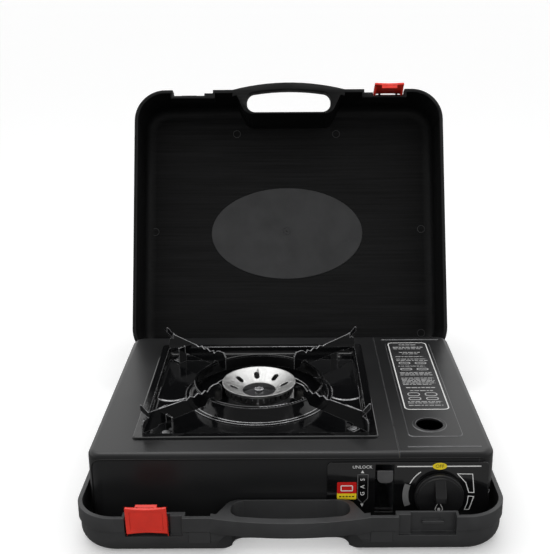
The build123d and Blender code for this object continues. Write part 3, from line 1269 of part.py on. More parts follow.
def pan_support(n):
    """Pressed blade on a diagonal: bent horn at the rim, waved edge, hump over the burner."""
    floor = TRAY_FLOOR + TRAY_SHEET
    rim = STOVE_TOP + TRAY_RIM_H
    top = BLADE_EDGE_Z
    ring = COLLAR_D_TOP / 2
    notch = COLLAR_TOP + COLLAR_BEAD
    bend_z = BLADE_TIP_Z - HORN_L
    edge = [(BLADE_OUT, rim), (BLADE_OUT, HORN_LOW_Z - 3 * BLADE_T),
            (BLADE_OUT - BLADE_T, HORN_LOW_Z - BLADE_T), (BLADE_OUT - 3 * BLADE_T, HORN_LOW_Z),
            (BLADE_BEND, HORN_LOW_Z), (BLADE_BEND, bend_z),
            (BLADE_IN + WAVE_FROM + WAVE_STEP / 2, top)]
    for k in range(WAVES):
        r = BLADE_IN + WAVE_FROM - WAVE_STEP * k
        edge += [(r, top - BLADE_WAVE), (r - WAVE_STEP / 2, top + BLADE_WAVE)]
    hump = BLADE_IN + HUMP_L
    edge += [(hump + WAVE_STEP / 2, top - BLADE_WAVE), (hump, BLADE_HUMP_Z - HUMP_EASE),
             (hump - HUMP_L / 4, BLADE_HUMP_Z),
             (BLADE_IN + HUMP_L / 4, BLADE_HUMP_Z), (BLADE_IN, BLADE_HUMP_Z - HUMP_L / 3),
             (BLADE_IN, BLADE_LOW_Z),
             (ring - 3 * BLADE_T, BLADE_LOW_Z), (ring - 2 * BLADE_T, notch), (ring + 2 * COLLAR_BEAD, notch),
             (ring + 4 * BLADE_T, BLADE_LOW_Z), (BLADE_FOOT_R + LEG_W, BLADE_LOW_Z),
             (BLADE_FOOT_R + LEG_W, rim)]
    blade = extrude(Rot(90, 0, 0) * outline(edge), BLADE_T / 2, both=True)
    horn = outline([(0, HORN_LOW_Z), (HORN_L, HORN_LOW_Z + HORN_L), (HORN_L, BLADE_TIP_Z),
                    (HORN_L - BLADE_T, BLADE_TIP_Z), (0, bend_z)])
    horn = extrude(Rot(90, 0, 0) * horn, BLADE_T / 2, both=True)
    outward = HORN_TURN if n % 2 else -HORN_TURN
    blade += Pos(BLADE_BEND, 0, 0) * Rot(0, 0, outward) * horn
    blade += rod_z(BLADE_BEND, 0, HORN_LOW_Z, bend_z, BLADE_T)
    half = BLADE_T / 2
    blade += block(BLADE_FOOT_R - half, BLADE_FOOT_R + half, -half, LEG_W, floor, LEG_TOP_Z)
    blade += block(BLADE_FOOT_R - half, BLADE_FOOT_R + FOOT_L, half, LEG_W, floor, floor + BLADE_T)
    blade = blade_place(n) * blade
    x, y = rivet_place(n)
    return lone(blade - rod_z(x, y, floor - CUT, floor + CUT, RIVET_D))


def support_rivets():
    """Rivets through the blades' tabs and the tray."""
    made = []
    low = TRAY_FLOOR
    high = TRAY_FLOOR + TRAY_SHEET + BLADE_T
    for n in range(BLADES):
        x, y = rivet_place(n)
        rivet = rod_z(x, y, low, high, RIVET_D)
        rivet += rod_z(x, y, high, high + RIVET_HEAD_H, RIVET_HEAD_D)
        rivet += rod_z(x, y, low - RIVET_HEAD_H, low, RIVET_HEAD_D)
        made.append(rivet)
    return group(made)


# ---------------------------------------------------------------- cartridge cover
def cartridge_cover():
    """Pressed cover over the bay, wrapping the right side, on two tabs."""
    grow = COVER_PROUD
    plan = rounded(-STOVE_X, STOVE_X + grow, STOVE_FRONT, STOVE_BACK, STOVE_R)
    inner = rounded(-STOVE_X, STOVE_X + grow - SHEET, STOVE_FRONT + SHEET, STOVE_BACK - SHEET,
                    STOVE_R - SHEET)
    shell = hood(plan, COVER_LOW_Z, STOVE_TOP, STOVE_TOP_R)
    shell -= hood(inner, COVER_LOW_Z - CUT, STOVE_TOP - SHEET, STOVE_TOP_R - SHEET)
    fold = STOVE_TOP - STOVE_TOP_R
    shell -= block(-STOVE_X - CUT, SEAM_X + FIT, STOVE_FRONT - CUT, STOVE_BACK + CUT, 0, STOVE_TOP + CUT)
    shell -= block(-STOVE_X - CUT, STOVE_X - STOVE_R + FIT, STOVE_FRONT - CUT, STOVE_BACK + CUT, 0, fold)
    raised = STOVE_TOP + EMBOSS
    panel = rounded(SEAM_X + PANEL_FROM_SEAM, STOVE_X - PANEL_FROM_SIDE, STOVE_FRONT + PANEL_FROM_FRONT,
                    STOVE_BACK - PANEL_FROM_BACK, PANEL_R)
    shell += prism(panel, STOVE_TOP - SHEET / 2, raised)
    for y in (STOVE_FRONT + BEAD_FROM_END, STOVE_BACK - BEAD_FROM_END):
        bead = rounded(SEAM_X + BEAD_FROM_SEAM, STOVE_X - BEAD_FROM_SIDE, y - BEAD_W / 2, y + BEAD_W / 2,
                       BEAD_W / 3)
        shell += prism(bead, STOVE_TOP - SHEET / 2, raised)
    shell += rod_z(COVER_HOLE_X, COVER_HOLE_Y, STOVE_TOP - SHEET / 2, STOVE_TOP + 2 * EMBOSS, COVER_RING_D)
    shell -= rod_z(COVER_HOLE_X, COVER_HOLE_Y, STOVE_TOP - CUT, STOVE_TOP + CUT, COVER_HOLE_D)
    for y0, y1 in cover_ear_spans()[0]:
        tab = rod_y(COVER_AXIS_X, y0, y1, COVER_AXIS_Z, 2 * COVER_TAB_R)
        x0 = COVER_AXIS_X - COVER_TAB_R
        tab += block(x0, COVER_AXIS_X + COVER_TAB_R, y0, y1, COVER_AXIS_Z, COVER_LOW_Z + SHEET)
        tab += block(x0, STOVE_X + grow - SHEET / 2, y0, y1, COVER_LOW_Z, COVER_TAB_TOP)
        shell += tab - rod_y(COVER_AXIS_X, y0 - CUT, y1 + CUT, COVER_AXIS_Z, COVER_PIN_D + PIN_CLEAR)
    return lone(shell)


def cover_hinge_pins():
    """Short pins through the housing's ears and the cover's tabs."""
    made = []
    for tab, ear in zip(*cover_ear_spans()):
        y0 = min(tab[0], ear[0])
        y1 = max(tab[1], ear[1])
        made.append(rod_y(COVER_AXIS_X, y0, y1, COVER_AXIS_Z, COVER_PIN_D))
    return group(made)


# ---------------------------------------------------------------- all nodes
def nodes():
    found = {
        "case_base": case_base(),
        "case_lid": case_lid(),
        "case_hinge_pins": case_hinge_pins(),
        "base_latch": on_base(latch_body()),
        "base_latch_pin": on_base(latch_pin()),
        "lid_latch": on_lid(latch_body()),
        "lid_latch_pin": on_lid(latch_pin()),
        "stove_housing": stove_housing(),
        "bottom_plate": bottom_plate(),
        "housing_screws": housing_screws(),
        "rubber_feet": rubber_feet(),
        "control_panel": control_panel(),
        "partition_plate": partition_plate(),
        "cartridge_cradle": cartridge_cradle(),
        "governor_body": governor_body(),
        "governor_cover": governor_cover(),
        "governor_screws": governor_screws(),
        "valve_bracket": valve_bracket(),
        "cartridge_guide": cartridge_guide(),
        "mixing_tube": mixing_tube(),
        "jet_nozzle": jet_nozzle(),
        "outlet_pipe": outlet_pipe(),
        "burner_body": burner_body(),
        "burner_ring": burner_ring(),
        "burner_cap": burner_cap(),
        "burner_screw": burner_screw(),
        "burner_bracket": burner_bracket(),
        "heat_conductor": heat_conductor(),
        "electrode_ceramic": electrode_ceramic(),
        "electrode_wire": electrode_wire(),
        "electrode_bracket": electrode_bracket(),
        "piezo_igniter": piezo_igniter(),
        "ignition_lead": ignition_lead(),
        "control_knob": control_knob(),
        "knob_shaft": knob_shaft(),
        "igniter_cam": igniter_cam(),
        "lock_lever": lock_lever(),
        "lever_shaft": lever_shaft(),
        "cartridge_pusher": cartridge_pusher(),
        "drip_tray": drip_tray(),
        "support_ring": support_ring(),
        "support_rivets": support_rivets(),
        "cartridge_cover": cartridge_cover(),
        "cover_hinge_pins": cover_hinge_pins(),
    }
    for n, corner in enumerate(("front_left", "back_left", "back_right", "front_right")):
        found["pan_support_" + corner] = pan_support(n)
    return found


os.makedirs("parts", exist_ok=True)
for name, part in nodes().items():
    part.label = name
    export_step(part, os.path.join("parts", name + ".step"))
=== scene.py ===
import math
import bmesh
import bpy
from mathutils import Matrix, Vector


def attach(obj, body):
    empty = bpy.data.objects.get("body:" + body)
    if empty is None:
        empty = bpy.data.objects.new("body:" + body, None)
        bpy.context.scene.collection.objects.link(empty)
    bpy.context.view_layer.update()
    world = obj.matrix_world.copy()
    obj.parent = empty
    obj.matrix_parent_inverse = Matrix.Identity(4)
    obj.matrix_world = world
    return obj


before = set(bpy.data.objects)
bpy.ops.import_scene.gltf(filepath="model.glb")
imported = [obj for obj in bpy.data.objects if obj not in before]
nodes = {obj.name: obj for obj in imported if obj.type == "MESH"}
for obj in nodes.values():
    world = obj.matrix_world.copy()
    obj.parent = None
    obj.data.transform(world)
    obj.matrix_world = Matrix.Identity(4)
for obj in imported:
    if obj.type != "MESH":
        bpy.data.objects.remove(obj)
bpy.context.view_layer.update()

# ------------------------------------------------------------------ camera
# A studio camera with a long lens stands on the stove's centre line, a little above the rim of the
# open lid, and looks down into the case.
CAMERA_PLACE = (0.00179, -0.8205, 0.45706)
CAMERA_HEADING = 0.00145
CAMERA_PITCH = -0.31246
CAMERA_ROLL = -0.00624
camera_data = bpy.data.cameras.new("studio_camera")
camera_data.lens = 60.57
camera_data.sensor_width = 36.0
camera_data.shift_x = -0.0269
camera = bpy.data.objects.new("studio_camera", camera_data)
camera.matrix_world = (Matrix.Translation(CAMERA_PLACE)
                       @ Matrix.Rotation(CAMERA_HEADING, 4, "Z")
                       @ Matrix.Rotation(math.pi / 2 + CAMERA_PITCH, 4, "X")
                       @ Matrix.Rotation(CAMERA_ROLL, 4, "Z"))
bpy.context.collection.objects.link(camera)
bpy.context.scene.camera = camera


# ------------------------------------------------------------------ carry case, lower shell
# The lower shell is injection-moulded black polypropylene with a fine eroded skin and a bowed grip.
# The stove stands loose inside it on its rubber feet. Two steel pins press into the hinge ears.
def wire(tree, kind, settings=None, sockets=None):
    """Adds a shader node; a socket takes a value or another node's output."""
    made = tree.nodes.new(kind)
    for key, value in (settings or {}).items():
        setattr(made, key, value)
    for key, value in (sockets or {}).items():
        if isinstance(value, bpy.types.NodeSocket):
            tree.links.new(value, made.inputs[key])
        else:
            made.inputs[key].default_value = value
    return made


def effect(name, wants, gives):
    """A shader node group with its sockets, still empty inside."""
    group = bpy.data.node_groups.new(name, "ShaderNodeTree")
    for label, kind in wants:
        group.interface.new_socket(label, in_out="INPUT", socket_type=kind)
    for label in gives:
        group.interface.new_socket(label, in_out="OUTPUT", socket_type="NodeSocketFloat")
    return (group, group.nodes.new("NodeGroupInput").outputs,
            group.nodes.new("NodeGroupOutput").inputs)


# uneven gloss in soft patches, and the fine relief of a moulded, painted or cast skin
skin_effect, skin_in, skin_out = effect(
    "uneven_skin", [("Position", "NodeSocketVector"), ("Patches", "NodeSocketFloat"),
                    ("Grain", "NodeSocketFloat")], ["Patch", "Relief"])
patch_noise = wire(skin_effect, "ShaderNodeTexNoise", None,
                   {"Vector": skin_in["Position"], "Scale": skin_in["Patches"], "Detail": 4.0,
                    "Roughness": 0.6})
patch_range = wire(skin_effect, "ShaderNodeMapRange", None,
                   {"Value": patch_noise.outputs["Fac"], "From Min": 0.3, "From Max": 0.7})
grain_noise = wire(skin_effect, "ShaderNodeTexNoise", None,
                   {"Vector": skin_in["Position"], "Scale": skin_in["Grain"], "Detail": 2.0,
                    "Roughness": 0.55})
skin_effect.links.new(patch_range.outputs["Result"], skin_out["Patch"])
skin_effect.links.new(grain_noise.outputs["Fac"], skin_out["Relief"])

# hairline scuffs, bunched in places
scuff_effect, scuff_in, scuff_out = effect(
    "hairline_scuffs", [("Position", "NodeSocketVector"), ("Spread", "NodeSocketFloat")], ["Scuff"])
bent = wire(scuff_effect, "ShaderNodeTexNoise", None,
            {"Vector": scuff_in["Position"], "Scale": 9.0, "Detail": 2.0})
pulled = wire(scuff_effect, "ShaderNodeVectorMath", {"operation": "SCALE"},
              {0: bent.outputs["Color"], "Scale": 0.05})
moved = wire(scuff_effect, "ShaderNodeVectorMath", {"operation": "ADD"},
             {0: scuff_in["Position"], 1: pulled.outputs["Vector"]})
cracks = wire(scuff_effect, "ShaderNodeTexVoronoi", {"feature": "DISTANCE_TO_EDGE"},
              {"Vector": moved.outputs["Vector"], "Scale": scuff_in["Spread"]})
hair = wire(scuff_effect, "ShaderNodeMapRange", None,
            {"Value": cracks.outputs["Distance"], "From Min": 0.0, "From Max": 0.006,
             "To Min": 1.0, "To Max": 0.0})
bunch = wire(scuff_effect, "ShaderNodeTexNoise", None,
             {"Vector": scuff_in["Position"], "Scale": 23.0, "Detail": 3.0})
bunched = wire(scuff_effect, "ShaderNodeMapRange", None,
               {"Value": bunch.outputs["Fac"], "From Min": 0.52, "From Max": 0.62})
scuffed = wire(scuff_effect, "ShaderNodeMath", {"operation": "MULTIPLY"},
               {0: hair.outputs["Result"], 1: bunched.outputs["Result"]})
scuff_effect.links.new(scuffed.outputs["Value"], scuff_out["Scuff"])


def finish(name, colour, roughness, metallic=0.0, patches=60.0, uneven=0.06, tone=0.16, grain=1500.0,
           relief=0.08, depth=0.0002, scuffs=0.25, spread=26.0, mirror=0.5):
    """A solid finish: its tone and gloss drift in patches, over a fine relief with a few scuffs."""
    made = bpy.data.materials.new(name)
    made.use_nodes = True
    tree = made.node_tree
    shader = tree.nodes["Principled BSDF"]
    place = wire(tree, "ShaderNodeTexCoord").outputs["Object"]
    skin = wire(tree, "ShaderNodeGroup", {"node_tree": skin_effect},
                {"Position": place, "Patches": patches, "Grain": grain})
    scuff = wire(tree, "ShaderNodeGroup", {"node_tree": scuff_effect},
                 {"Position": place, "Spread": spread})
    dim = [c * (1.0 - tone) for c in colour] + [1.0]
    bright = [min(1.0, c * (1.0 + tone)) for c in colour] + [1.0]
    body = wire(tree, "ShaderNodeMix", {"data_type": "RGBA"},
                {0: skin.outputs["Patch"], 6: dim, 7: bright})
    wear_and_edge_highlight = [min(1.0, c * 1.5 + 0.012) for c in colour] + [1.0]
    amount = wire(tree, "ShaderNodeMath", {"operation": "MULTIPLY"},
                  {0: scuff.outputs["Scuff"], 1: scuffs})
    marked = wire(tree, "ShaderNodeMix", {"data_type": "RGBA"},
                  {0: amount.outputs["Value"], 6: body.outputs[2], 7: wear_and_edge_highlight})
    gloss = wire(tree, "ShaderNodeMapRange", None,
                 {"Value": skin.outputs["Patch"], "To Min": roughness - uneven,
                  "To Max": roughness + uneven})
    bump = wire(tree, "ShaderNodeBump", None,
                {"Height": skin.outputs["Relief"], "Strength": relief, "Distance": depth})
    tree.links.new(marked.outputs[2], shader.inputs["Base Color"])
    tree.links.new(gloss.outputs["Result"], shader.inputs["Roughness"])
    tree.links.new(bump.outputs["Normal"], shader.inputs["Normal"])
    shader.inputs["Metallic"].default_value = metallic
    shader.inputs["Specular IOR Level"].default_value = mirror
    return made


MERGE_WITHIN = 0.000001
FLAT_ANGLE = math.radians(0.5)
SHARP_ANGLE = math.radians(34)


def dress(finish_of, edge, *names, wear_and_edge_highlight=None):
    """Gives CAD nodes their finish, and rounds their sharp edges, which may get a brighter finish as a
    painted highlight.
    """
    for name in names:
        piece = nodes[name]
        for at in piece.material_slots:
            at.material = finish_of
        joined = piece.modifiers.new("joined", "WELD")
        joined.merge_threshold = MERGE_WITHIN
        flat = piece.modifiers.new("flat faces", "DECIMATE")
        flat.decimate_type = "DISSOLVE"
        flat.angle_limit = FLAT_ANGLE
        if edge:
            soft = piece.modifiers.new("soft edges", "BEVEL")
            soft.width = edge
            soft.segments = 2
            soft.limit_method = "ANGLE"
            soft.angle_limit = SHARP_ANGLE
            soft.harden_normals = True
            # known fault: unclamped, this throws long slivers off thin edges (latches, ring, supports)
            soft.use_clamp_overlap = False
            # where a brighter finish is given, the bevel faces take it: painted highlight along the
            # edges
            if wear_and_edge_highlight:
                piece.data.materials.append(wear_and_edge_highlight)
                soft.material = len(piece.data.materials) - 1


case_black = finish("case_black", (0.031, 0.0315, 0.0325), 0.46, patches=28.0, grain=1700.0,
                    relief=0.16, scuffs=0.5)
pin_steel = finish("pin_steel", (0.56, 0.56, 0.57), 0.30, 1.0, patches=300.0, grain=900.0,
                   relief=0.04)
dress(case_black, 0.0005, "case_base")
dress(pin_steel, 0.0002, "case_hinge_pins")

# ------------------------------------------------------------------ carry case, lid
# The lid is a deeper shell of the same plastic, coloured darker as painted shade. Its inner panel is
# finely lined, with a smoother raised oval, the round scar of the gate, ejector pin marks, and a row of
# small ribs on one wall.
HINGE_Y = 0.16225
HINGE_Z = 0.0364
LID_OPEN = math.radians(113.3)
PANEL_Z = 0.106
LID_HOLLOW = (("X", 0.1768), ("Y", 0.1541), ("Z", 0.1064))
hinge = Matrix.Translation((0.0, HINGE_Y, HINGE_Z))
opened = hinge @ Matrix.Rotation(-LID_OPEN, 4, "X") @ hinge.inverted()


def lid_shaded_finish():
    """Case plastic, painted darker as shade and darker still in the hollow, drawn into fine level
    lines.
    """
    # the case plastic darkened about four times over: painted shade on the whole lid
    made = finish("lid_black_shaded", (0.0080, 0.0082, 0.0085), 0.5, patches=28.0, grain=1700.0,
                  relief=0.16, scuffs=0.5, mirror=0.28)
    tree = made.node_tree
    shader = tree.nodes["Principled BSDF"]
    old_colour = shader.inputs["Base Color"].links[0].from_socket
    closed = opened.inverted()
    shut = wire(tree, "ShaderNodeMapping", None,
                {"Vector": wire(tree, "ShaderNodeTexCoord").outputs["Object"],
                 "Location": closed.to_translation(), "Rotation": closed.to_euler()})
    size = wire(tree, "ShaderNodeVectorMath", {"operation": "ABSOLUTE"}, {0: shut.outputs["Vector"]})
    parts = wire(tree, "ShaderNodeSeparateXYZ", None, {"Vector": size.outputs["Vector"]})
    # the shell's hollow, where the colour is painted darker again as shade
    within = []
    for axis, limit in LID_HOLLOW:
        within.append(wire(tree, "ShaderNodeMath", {"operation": "LESS_THAN"},
                           {0: parts.outputs[axis], 1: limit}).outputs["Value"])
    both = wire(tree, "ShaderNodeMath", {"operation": "MULTIPLY"}, {0: within[0], 1: within[1]})
    hollow_shade_mask = wire(tree, "ShaderNodeMath", {"operation": "MULTIPLY"},
                  {0: both.outputs["Value"], 1: within[2]})
    drawn = wire(tree, "ShaderNodeMapping", None,
                 {"Vector": shut.outputs["Vector"], "Scale": (9.0, 620.0, 620.0)})
    lines = wire(tree, "ShaderNodeTexNoise", None,
                 {"Vector": drawn.outputs["Vector"], "Scale": 1.0, "Detail": 5.0, "Roughness": 0.7})
    lined = wire(tree, "ShaderNodeMapRange", None,
                 {"Value": lines.outputs["Fac"], "From Min": 0.35, "From Max": 0.65})
    # level lines drawn between two tones darker than the lid's own: painted shade in the hollow
    inner_lines_and_shade = wire(tree, "ShaderNodeMix", {"data_type": "RGBA"},
                 {0: lined.outputs["Result"], 6: (0.0016, 0.0017, 0.0018, 1.0),
                  7: (0.0075, 0.0077, 0.008, 1.0)})
    colour = wire(tree, "ShaderNodeMix", {"data_type": "RGBA"},
                  {0: hollow_shade_mask.outputs["Value"], 6: old_colour, 7: inner_lines_and_shade.outputs[2]})
    tree.links.new(colour.outputs[2], shader.inputs["Base Color"])
    return made


def piece(name, bm, place, finish_of, body, slot):
    """A new piece from its bmesh, put in place in its mesh; it moves with a body."""
    bmesh.ops.transform(bm, matrix=place, verts=bm.verts[:])
    bmesh.ops.recalc_face_normals(bm, faces=bm.faces[:])
    mesh = bpy.data.meshes.new(name)
    bm.to_mesh(mesh)
    bm.free()
    mesh.materials.append(finish_of)
    made = bpy.data.objects.new(name, mesh)
    bpy.context.collection.objects.link(made)
    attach(made, body)
    return made


def ring(bm, centre, radius, width, height):
    """Adds a round raised line of square section."""
    r0 = radius - width / 2
    r1 = radius + width / 2
    corners = [bm.verts.new(centre + Vector(c)) for c in
               ((r0, 0, 0), (r1, 0, 0), (r1 - width / 5, 0, height), (r0 + width / 5, 0, height))]
    edges = [bm.edges.new((a, b)) for a, b in zip(corners, corners[1:] + corners[:1])]
    bmesh.ops.spin(bm, geom=corners + edges, cent=centre, axis=(0, 0, 1), angle=2 * math.pi,
                   steps=40, use_merge=True)


lid_black_shaded = lid_shaded_finish()
dress(lid_black_shaded, 0.0005, "case_lid")

OVAL_HALF = (0.0928, 0.0564)
OVAL_RISE = 0.0008
OVAL_X = -0.003
oval_black = finish("oval_black", (0.033, 0.0335, 0.0345), 0.42, patches=35.0, grain=2200.0,
                    relief=0.12, scuffs=0.3)
oval = bmesh.new()
bmesh.ops.create_circle(oval, cap_ends=True, segments=128, radius=1.0,
                        matrix=Matrix.Diagonal((*OVAL_HALF, 1, 1)))
grown = bmesh.ops.extrude_face_region(oval, geom=oval.faces[:], use_keep_orig=True)
top = [v for v in grown["geom"] if isinstance(v, bmesh.types.BMVert)]
bmesh.ops.translate(oval, verts=top, vec=(0, 0, OVAL_RISE))
bmesh.ops.bevel(oval, geom=[e for e in oval.edges if all(v in top for v in e.verts)],
                affect="EDGES", offset=0.0006, segments=3, profile=0.5, material=-1)
facing = (opened @ Matrix.Translation((OVAL_X, 0.003, PANEL_Z + 0.0001))
          @ Matrix.Rotation(math.pi, 4, "X"))
piece("lid_oval", oval, facing, oval_black, "case_lid", "case_plastic")

EJECTOR_PINS = ((-0.0647, -0.122), (0.0586, -0.1214), (-0.1652, 0.0004), (0.1621, -0.0014),
                (0.1597, 0.1266))
marks = bmesh.new()
for x, y in EJECTOR_PINS:
    ring(marks, Vector((x, -y, 0)), 0.0044, 0.0009, 0.0004)
ring(marks, Vector((OVAL_X, 0.0, OVAL_RISE)), 0.0042, 0.0007, 0.0003)
bmesh.ops.create_cone(marks, cap_ends=True, segments=20, radius1=0.0011, radius2=0.0008, depth=0.0009,
                      matrix=Matrix.Translation((OVAL_X, 0.0, 0.0011)))
facing = opened @ Matrix.Translation((0, 0, PANEL_Z + 0.00005)) @ Matrix.Rotation(math.pi, 4, "X")
piece("lid_pin_marks", marks, facing, oval_black, "case_lid", "case_plastic")

RIB_COUNT = 26
RIB_STEP = 0.0038
RIB_SIZE = (0.0012, 0.0011, 0.009)
ribs = bmesh.new()
for step in range(RIB_COUNT):
    bmesh.ops.create_cube(ribs, size=1.0,
                          matrix=Matrix.Translation((-0.1766, -0.094 + step * RIB_STEP, 0.0905))
                          @ Matrix.Diagonal((*RIB_SIZE, 1)))
bmesh.ops.bevel(ribs, geom=ribs.edges[:], affect="EDGES", offset=0.0003, segments=1, profile=0.5,
                material=-1)
piece("lid_wall_ribs", ribs, opened, lid_black_shaded, "case_lid", "case_plastic")

# ------------------------------------------------------------------ latches
# Two red acetal latches snap over the rim. Each has a bordered centre panel and swings on a pin
# held by ears in its own shell.
latch_red = finish("latch_red", (0.78, 0.036, 0.020), 0.36, patches=90.0, tone=0.08, grain=1200.0,
                   relief=0.05, scuffs=0.2)
dress(latch_red, 0.0005, "base_latch", "lid_latch")
dress(pin_steel, 0.0001, "base_latch_pin", "lid_latch_pin")

# ------------------------------------------------------------------ stove body
# The body is one deep-drawn sheet of steel, powder-coated charcoal, with a brighter finish on its edges
# that is painted highlight over some wear.
# Pan-head screws hold its galvanised floor plate, which stands on four rubber feet. A rolled seam
# runs along the front.
body_grey = finish("body_grey", (0.0115, 0.0117, 0.0122), 0.31, patches=14.0, uneven=0.03, tone=0.1,
                   grain=420.0, relief=0.04, scuffs=0.15, mirror=0.42)
foot_rubber = finish("foot_rubber", (0.018, 0.018, 0.018), 0.82, patches=160.0, grain=1400.0,
                     relief=0.3)


def zinc_finish():
    """Galvanised sheet: crystals of differing tone and gloss, over a fine relief."""
    made = bpy.data.materials.new("zinc_sheet")
    made.use_nodes = True
    tree = made.node_tree
    shader = tree.nodes["Principled BSDF"]
    place = wire(tree, "ShaderNodeTexCoord").outputs["Object"]
    cells = wire(tree, "ShaderNodeTexVoronoi", None,
                 {"Vector": place, "Scale": 210.0, "Randomness": 1.0})
    grey = wire(tree, "ShaderNodeRGBToBW", None, {"Color": cells.outputs["Color"]})
    skin = wire(tree, "ShaderNodeGroup", {"node_tree": skin_effect},
                {"Position": place, "Patches": 40.0, "Grain": 900.0})
    tone = wire(tree, "ShaderNodeMix", {"data_type": "RGBA"},
                {0: grey.outputs["Val"], 6: (0.42, 0.43, 0.45, 1), 7: (0.62, 0.63, 0.64, 1)})
    gloss = wire(tree, "ShaderNodeMapRange", None,
                 {"Value": grey.outputs["Val"], "To Min": 0.3, "To Max": 0.5})
    bump = wire(tree, "ShaderNodeBump", None,
                {"Height": skin.outputs["Relief"], "Strength": 0.08, "Distance": 0.0002})
    tree.links.new(tone.outputs[2], shader.inputs["Base Color"])
    tree.links.new(gloss.outputs["Result"], shader.inputs["Roughness"])
    tree.links.new(bump.outputs["Normal"], shader.inputs["Normal"])
    shader.inputs["Metallic"].default_value = 1.0
    return made


zinc = zinc_finish()
# a brighter, half-metallic charcoal for the body's bevels: painted highlight along its edges, with
# scuffs
body_edge_highlight = finish("body_edge_highlight", (0.13, 0.131, 0.134), 0.32, 0.5, patches=90.0, tone=0.3, relief=0.04,
                   scuffs=0.6)
dress(body_grey, 0.0004, "stove_housing", wear_and_edge_highlight=body_edge_highlight)
dress(zinc, 0.0002, "bottom_plate")
dress(pin_steel, 0.0003, "housing_screws")
dress(foot_rubber, 0.0003, "rubber_feet")


def patch(bm, wide, high, radius=0.0, x=0.0, y=0.0):
    """Adds a flat rectangle with round corners."""
    old = set(bm.verts)
    at = Matrix.Translation((x, y, 0)) @ Matrix.Diagonal((wide, high, 1, 1))
    bmesh.ops.create_grid(bm, x_segments=1, y_segments=1, size=0.5, matrix=at)
    if radius:
        bmesh.ops.bevel(bm, geom=[v for v in bm.verts if v not in old], affect="VERTICES",
                        offset=radius, segments=6, profile=0.5, material=-1, clamp_overlap=False)


def outlined(bm, line):
    """Keeps only a line of that width along the rim of each face."""
    bm.normal_update()
    whole = bm.faces[:]
    bmesh.ops.inset_region(bm, faces=whole, thickness=line, use_even_offset=True,
                           use_boundary=True)
    bmesh.ops.delete(bm, geom=whole, context="FACES")


# the front plate's rolled seam: a low bead that runs on round the body's two front corners,
# coloured darker than the body as painted shade of the seam's groove
BODY_FLAT = 0.1585
BODY_R = 0.013
BODY_FRONT = -0.1245
SEAM_WRAP = 0.0112
SEAM_LINE = 0.0013
SEAM_RISE = 0.0007
bead = bmesh.new()
patch(bead, 2 * (BODY_FLAT + SEAM_WRAP), 0.0580, 0.0115, y=0.0437)
outlined(bead, SEAM_LINE)
bead.normal_update()
bmesh.ops.solidify(bead, geom=bead.faces[:], thickness=SEAM_RISE)
bmesh.ops.recalc_face_normals(bead, faces=bead.faces[:])
bead_low = min(v.co.z for v in bead.verts)
for v in bead.verts:
    proud = v.co.z - bead_low - 0.0001
    turn = max(0.0, abs(v.co.x) - BODY_FLAT) / BODY_R
    side = math.copysign(1.0, v.co.x)
    x = v.co.x if turn == 0 else side * (BODY_FLAT + (BODY_R + proud) * math.sin(turn))
    v.co = (x, BODY_FRONT + BODY_R - (BODY_R + proud) * math.cos(turn), v.co.y)
# darker than the body's own paint: painted shade along the seam
seam_painted_shade = finish("seam_painted_shade", (0.003, 0.003, 0.003), 0.5, patches=90.0)
seam = piece("front_seam", bead, Matrix.Identity(4), seam_painted_shade, "stove", "body_paint")
rolled = seam.modifiers.new("rolled", "BEVEL")
rolled.width = 0.0003
rolled.segments = 2
rolled.limit_method = "ANGLE"

# ------------------------------------------------------------------ gas train
# A folded partition carries the cartridge cradle and its guide. The die-cast governor with the valve
# is screwed to a bracket, and a brass pipe brings the gas to the burner's jet.
alloy_grey = finish("alloy_grey", (0.44, 0.44, 0.45), 0.48, 1.0, patches=120.0, grain=1300.0,
                    relief=0.3)
brass = finish("brass", (0.72, 0.50, 0.19), 0.32, 1.0, patches=150.0, tone=0.1, grain=900.0,
               relief=0.05)
dress(zinc, 0.0002, "partition_plate", "cartridge_cradle", "valve_bracket", "cartridge_guide")
dress(alloy_grey, 0.0004, "governor_body", "governor_cover")
dress(pin_steel, 0.0003, "governor_screws")
dress(brass, 0.0002, "jet_nozzle", "outlet_pipe")

# ------------------------------------------------------------------ burner
# The mixing tube feeds an aluminium burner: a cast bowl, a toothed port ring, and a bright dished cap
# with eight teardrop ports, held by one screw. A strip carries heat from it back to the cartridge.
cap_alloy = finish("cap_alloy", (0.50, 0.50, 0.495), 0.45, 1.0, patches=260.0, uneven=0.1,
                   tone=0.12, grain=1700.0, relief=0.35, scuffs=0.4)
ring_dark = finish("ring_dark", (0.10, 0.10, 0.10), 0.45, 0.9, patches=150.0, grain=1500.0,
                   relief=0.25)
dress(zinc, 0.0002, "mixing_tube", "burner_bracket")
dress(alloy_grey, 0.0003, "burner_body")
dress(ring_dark, 0.0002, "burner_ring")
dress(cap_alloy, 0.0003, "burner_cap")
dress(pin_steel, 0.0003, "burner_screw")
dress(cap_alloy, 0.0002, "heat_conductor")

# ------------------------------------------------------------------ ignition
# Turning the knob trips a piezo igniter on the floor plate. A rubber lead takes its spark to a steel
# wire in a white ceramic sleeve at the front of the burner.
ceramic = finish("ceramic", (0.80, 0.78, 0.72), 0.22, patches=200.0, tone=0.03, grain=1200.0,
                 relief=0.04)
igniter_black = finish("igniter_black", (0.022, 0.022, 0.023), 0.4, patches=120.0)
lead_grey = finish("lead_grey", (0.03, 0.03, 0.032), 0.5, patches=140.0, tone=0.1)
dress(ceramic, 0.0003, "electrode_ceramic")
dress(pin_steel, 0.0, "electrode_wire")
dress(zinc, 0.0002, "electrode_bracket")
dress(igniter_black, 0.0003, "piezo_igniter")
dress(lead_grey, 0.0, "ignition_lead")

